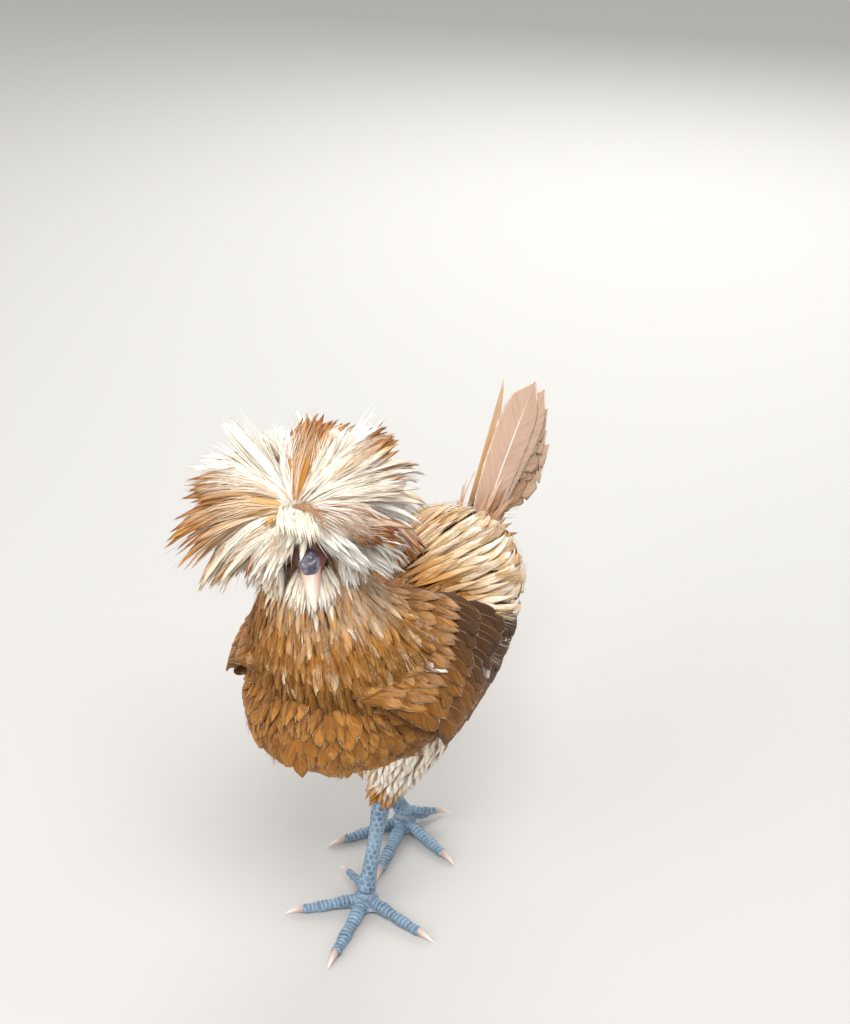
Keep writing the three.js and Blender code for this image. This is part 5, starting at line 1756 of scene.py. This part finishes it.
SKULL = ((-23, 0, 2, 3, 3), (-20, 0, 9, 9, 9), (-11, 0, 13.5, 14, 13), (0, 0, 14.2, 15, 14),
         (10, 0, 12.2, 12.5, 12), (19, 0, 8.4, 8, 9), (25, -1, 5.6, 4, 6))
UPPER_BILL = ((17, 1, 6.6, 4.2, 3.6), (24, 0.4, 5.6, 4, 3.2), (31, -0.9, 4.3, 3.5, 2.2), (38, -3.2, 2.9, 2.8, 1.5),
              (43, -6.6, 1.3, 1.6, 1.2), (44.5, -9.4, 0.4, 0.5, 0.5))
LOWER_BILL = ((17, -6.6, 5.6, 2.2, 2.6), (26, -6.2, 4.6, 2.2, 2.2), (34, -6.6, 3.2, 1.8, 1.8),
              (39.5, -7.6, 1.4, 0.9, 1.1))
NOSTRIL_BASE = ((14, 4, 4, 3, 3), (18, 4.6, 6.2, 5.6, 4.4), (23, 4, 6.2, 5.4, 4.2), (28, 2.6, 4.6, 3.4, 3),
                (30.5, 1.6, 2, 1.6, 1.6))


def long_rings(keys, rows, sides):
    """Rings along the head's length, from keys of place, height, half width, rise and drop."""
    rings = []
    for r in range(rows + 1):
        x, z, half, rise, drop = (through([key[k] for key in keys], r / rows) for k in range(5))
        rings.append([on_head(x, half * side, z + (rise if up > 0 else drop) * up) for side, up in circle(sides)])
    return rings


def lid_rings(side):
    """A fleshy rim round the eye, as a closed loop of small rings."""
    x, y, z = EYE_AT
    rings = []
    for i in range(33):
        turn = 2 * math.pi * i / 32
        ring = []
        for wide, deep in circle(8):
            reach = 5.3 + 1.15 * wide
            ring.append(on_head(x + 1.08 * reach * math.cos(turn), side * (y + 2.1 + 1.1 * deep),
                                z + 0.8 * reach * math.sin(turn)))
        rings.append(ring)
    return rings


def comb_rings(side):
    rings = []
    for r in range(9):
        t = r / 8
        half = 2.4 * (1 - t) + 0.5
        rings.append([on_head(15 - 2 * t + half * ahead, side * (2.6 + 3.2 * t) + half * 0.9 * out, 6 + 10.5 * t)
                      for ahead, out in circle(8)])
    return rings


def flesh_finish(name, low, high, wet, roughness):
    """Fine wrinkled skin."""
    finish, f, shader = start_material(name)
    place = f.node("ShaderNodeTexCoord").outputs["Object"]
    grain = f.fed("ShaderNodeTexVoronoi", {"Vector": place, "Scale": 1000.0}, feature="DISTANCE_TO_EDGE")
    folds = noise_of(f, place, 260.0, 4.0)
    patches = noise_of(f, place, 110.0, 3.0)
    colour = mixed(f, ramp_between(f, patches, 0.35, 0.65), four(low), four(high))
    colour = mixed(f, ramp_between(f, folds, 0.5, 0.75), colour, four(low * 0.6))
    colour = mixed(f, attribute(f, "covered", "Fac"), colour, four(CREAM * 0.7))
    f.feed(shader, {
        "Base Color": colour, "Roughness": f.number("MULTIPLY_ADD", folds, 0.25, roughness), "Coat Weight": wet,
        "Coat Roughness": 0.2})
    height = f.number("ADD", f.times(ramp_between(f, grain.outputs["Distance"], 0.0, 0.25), 0.35), folds)
    bumped(f, shader, height, 0.4, 0.0003)
    return finish


def eye_finish():
    """Bay iris with fine rays round a dark pupil, under a clear coat."""
    finish, f, shader = start_material("bay eye")
    away, turn, _ = f.split(attribute(f, "gaze"))
    streak = noise_of(f, f.joined(f.times(turn, 14.0), f.times(away, 2.0)), 1.0, 3.0)
    iris = mixed(f, streak, (0.42, 0.1, 0.02, 1), (0.13, 0.03, 0.01, 1))
    iris = mixed(f, ramp_between(f, away, 0.62, 0.8), iris, (0.02, 0.012, 0.01, 1))
    colour = mixed(f, ramp_between(f, away, 0.3, 0.36), (0.003, 0.003, 0.004, 1), iris)
    f.feed(shader, {"Base Color": colour, "Roughness": 0.12, "Coat Weight": 1.0, "Coat Roughness": 0.03})
    return finish


def eye(name, side, finish):
    """A ball whose poles lie along its gaze, with a slight bulge in front."""
    middle = Vector((EYE_AT[0], side * EYE_AT[1], EYE_AT[2]))
    rings, gaze = [], []
    for r in range(21):
        away = math.pi * clamp(r / 20, 0.004, 0.996)
        bulge = 1 + 0.06 * max(math.cos(away), 0) ** 6
        ring = []
        for level, up in circle(28):
            out = Vector((math.sin(away) * level, side * math.cos(away) * bulge, math.sin(away) * up))
            ring.append(on_head(*(middle + out * EYE_RADIUS)))
            gaze.append((away / 1.2, up, level))
        rings.append(ring)
    points, faces = loft(rings)
    made = piece(name + "_ball", points, faces)
    store_ways(made.data, "gaze", gaze)
    outward(made.data)
    settle(made, "eye", finish, name)


def bare_head():
    to_head = HEAD.inverted()
    face = flesh_finish("wrinkled face skin", Vector((0.12, 0.045, 0.035)), Vector((0.2, 0.07, 0.05)), 0.15, 0.45)
    groups = [long_rings(SKULL, 40, 36)] + [lid_rings(side) for side in (1, -1)]
    groups += [comb_rings(side) for side in (1, -1)]
    body = joined_lofts("head_skin", groups, 0.6, 2)
    covered = []
    for v in body.data.vertices:
        own = to_head @ in_millimetres(v.co)
        covered.append(1 - smooth(own.x, 1, 5) * smooth(own.z, -11, -8) * (1 - smooth(own.z, 11, 13)))
    store(body.data, "covered", covered)
    settle(body, "face_skin", face, "head")
    bulb = flesh_finish("slate purple nostril skin", Vector((0.05, 0.042, 0.07)), Vector((0.2, 0.175, 0.235)),
                        0.7, 0.22)
    base = joined_lofts("nostril_bulb", [long_rings(NOSTRIL_BASE, 24, 32)], 0.4, 2)
    places = []
    for co, normal in [(v.co.copy(), v.normal.copy()) for v in base.data.vertices]:
        own = to_head @ in_millimetres(co)
        hollow = 1 - smooth(math.hypot((own.x - 25) / 3.2, (own.z - 5.3) / 1.1), 0.5, 1.1)
        fold = 1 - smooth(math.hypot((own.x - 25) / 4.6, (own.z - 6.8) / 1.2), 0.4, 1.2)
        ridge = 0.25 * noise.noise(own * 0.3)
        raised = ridge + 0.35 * fold - 1.3 * hollow * smooth(abs(own.y), 2, 3.5) - 0.7
        places.append(co + normal * (raised * MM))
    base.data.vertices.foreach_set("co", floats(places))
    base.data.update()
    settle(base, "face_skin", bulb, "nostril_base")
    horn = horn_finish("pink bill horn", Vector((0.5, 0.26, 0.2)), Vector((0.86, 0.72, 0.62)))
    horn_piece("upper_bill_horn", long_rings(UPPER_BILL, 36, 28), horn, "bill_horn", "bill_upper")
    horn_piece("lower_bill_horn", long_rings(LOWER_BILL, 28, 28), horn, "bill_horn", "bill_lower")
    bay = eye_finish()
    eye("eye_left", 1, bay)
    eye("eye_right", -1, bay)


# The skin under the coat: one body over trunk, neck and thighs

def skin():
    groups = [[[trunk_point(0.5 - 0.5 * math.cos(math.pi * r / 30) * 0.97, 12 * i, -SKIN_DEPTH)[0]
                for i in range(30)] for r in range(31)],
              [[neck_point(r / 16, 12 * i, -SKIN_DEPTH)[0] for i in range(30)] for r in range(17)]]
    for leg in LEGS.values():
        groups.append([[thigh_surface(leg, r / 12 * 1.08, 15 * i, -SKIN_DEPTH)[0] for i in range(24)]
                       for r in range(13)])
    body = joined_lofts("skin", groups, 2.4)
    made = body.data
    draw = random.Random(5)
    store_ways(made, "ground", [breast_colours(in_millimetres(v.co), draw)[0] * 1.15 for v in made.vertices])
    finish, f, shader = start_material("skin under the feathers")
    f.feed(shader, {"Base Color": attribute(f, "ground"), "Roughness": 0.8})
    settle(body, "body_feather", finish, "torso", "neck", "thigh_left", "thigh_right")


def body_hairs(coats):
    """Loose, fine hairs over the body coat, golden above and cream where the light barbs show."""
    draw = random.Random(31)
    hairs = []
    for own in coats:
        for x in own:
            if draw.random() > 0.3:
                continue
            made = x.copy()
            made.root = x.root + x.face_root * 0.5
            made.way = x.way * 1.1 + x.face_root * 1.6
            made.bend = x.bend * 1.1 + scatter(draw) * 1.5
            # Painted shade: fewer pale hairs on the bird's right, the side turned away from the key light.
            light = draw.random() < (0.1 + 0.25 * smooth(x.root.z, 205, 245)) * (1 - 0.8 * smooth(-x.root.x, 5, 45))
            made.ground = blend(x.ground, GOLD, 0.2)
            made.tip = blend(STRAW, CREAM, draw.random()) if light else blend(x.tip, GOLD, 0.3 * draw.random())
            made.width = draw.uniform(4, 8)
            hairs.append(made)
    return hairs


NECK_COAT = neck_coat()
TRUNK_COAT = trunk_coat()
grow("body_hairs", body_hairs([NECK_COAT, TRUNK_COAT["breast"], TRUNK_COAT["left_side"], TRUNK_COAT["right_side"]]),
     WISPS, HACKLE_FINISH, "body_feather", [], 0.1, 0.1)
for name, own in TRUNK_COAT.items():
    grow(f"body_feathers_{name}", own, HACKLES if name == "fringe" else BODY_SHAPES, BODY_FINISH, "body_feather",
         ["torso"], 0.2, 0.08)
grow("neck_feathers", NECK_COAT, HACKLES, HACKLE_FINISH, "hackle_feather", ["neck"], 0.2, 0.1)
grow("cape_feathers", cape_coat(), HACKLES, HACKLE_FINISH, "body_feather", ["torso"], 0.2, 0.1)
crest()
for name in RUFF:
    ruff(name)
wing(1, "wing_left")
wing(-1, "wing_right")
saddle()
tail()
for name in LEGS:
    thigh(name)
skin()
HIDE = hide_finish()
CLAW_HORN = horn_finish("claw horn", Vector((0.5, 0.37, 0.32)), Vector((0.8, 0.7, 0.63)), 0.36)
for name in LEGS:
    leg_hide(name, HIDE)
    claws(name, CLAW_HORN)
bare_head()


# Floor and light


def stage():
    size = 3.0
    floor = piece("floor", [(-size, -size, 0), (size, -size, 0), (size, size, 0), (-size, size, 0)], [(0, 1, 2, 3)],
                  millimetres=False)
    finish, f, shader = start_material("pale floor")
    f.feed(shader, {"Base Color": (0.5, 0.49, 0.475, 1), "Roughness": 0.9})
    floor.data.materials.append(finish)
    for name, place, aim, width, power in (
        ("key", (0.6, -0.8, 2.1), (0, 0, 0.2), 1.2, 38),
        ("fill", (-0.9, -1.6, 0.9), (0, 0, 0.2), 1.4, 20),
        ("back", (-0.3, 1.6, 1.2), (0, 0, 0.2), 1.0, 22),
    ):
        lamp = bpy.data.lights.new(name, "AREA")
        lamp.size = width
        lamp.energy = power
        made = bpy.data.objects.new(name, lamp)
        made.location = place
        made.rotation_euler = (Vector(aim) - Vector(place)).to_track_quat("-Z", "Y").to_euler()
        bpy.context.scene.collection.objects.link(made)
    world = bpy.data.worlds.new("soft light")
    world.use_nodes = True
    sky = world.node_tree.nodes["Background"]
    Fields(world.node_tree).feed(sky, {"Color": (1.0, 0.985, 0.96, 1), "Strength": 0.74})
    bpy.context.scene.world = world
    bpy.context.scene.view_settings.view_transform = "Standard"


stage()

for collection in (PLUMES, WISPS, BODY_SHAPES, HACKLES, DOWNS, COVERTS, FLIGHTS, TAILS, TORN, SADDLES):
    for obj in list(collection.objects):
        bpy.data.objects.remove(obj)
    bpy.data.collections.remove(collection)
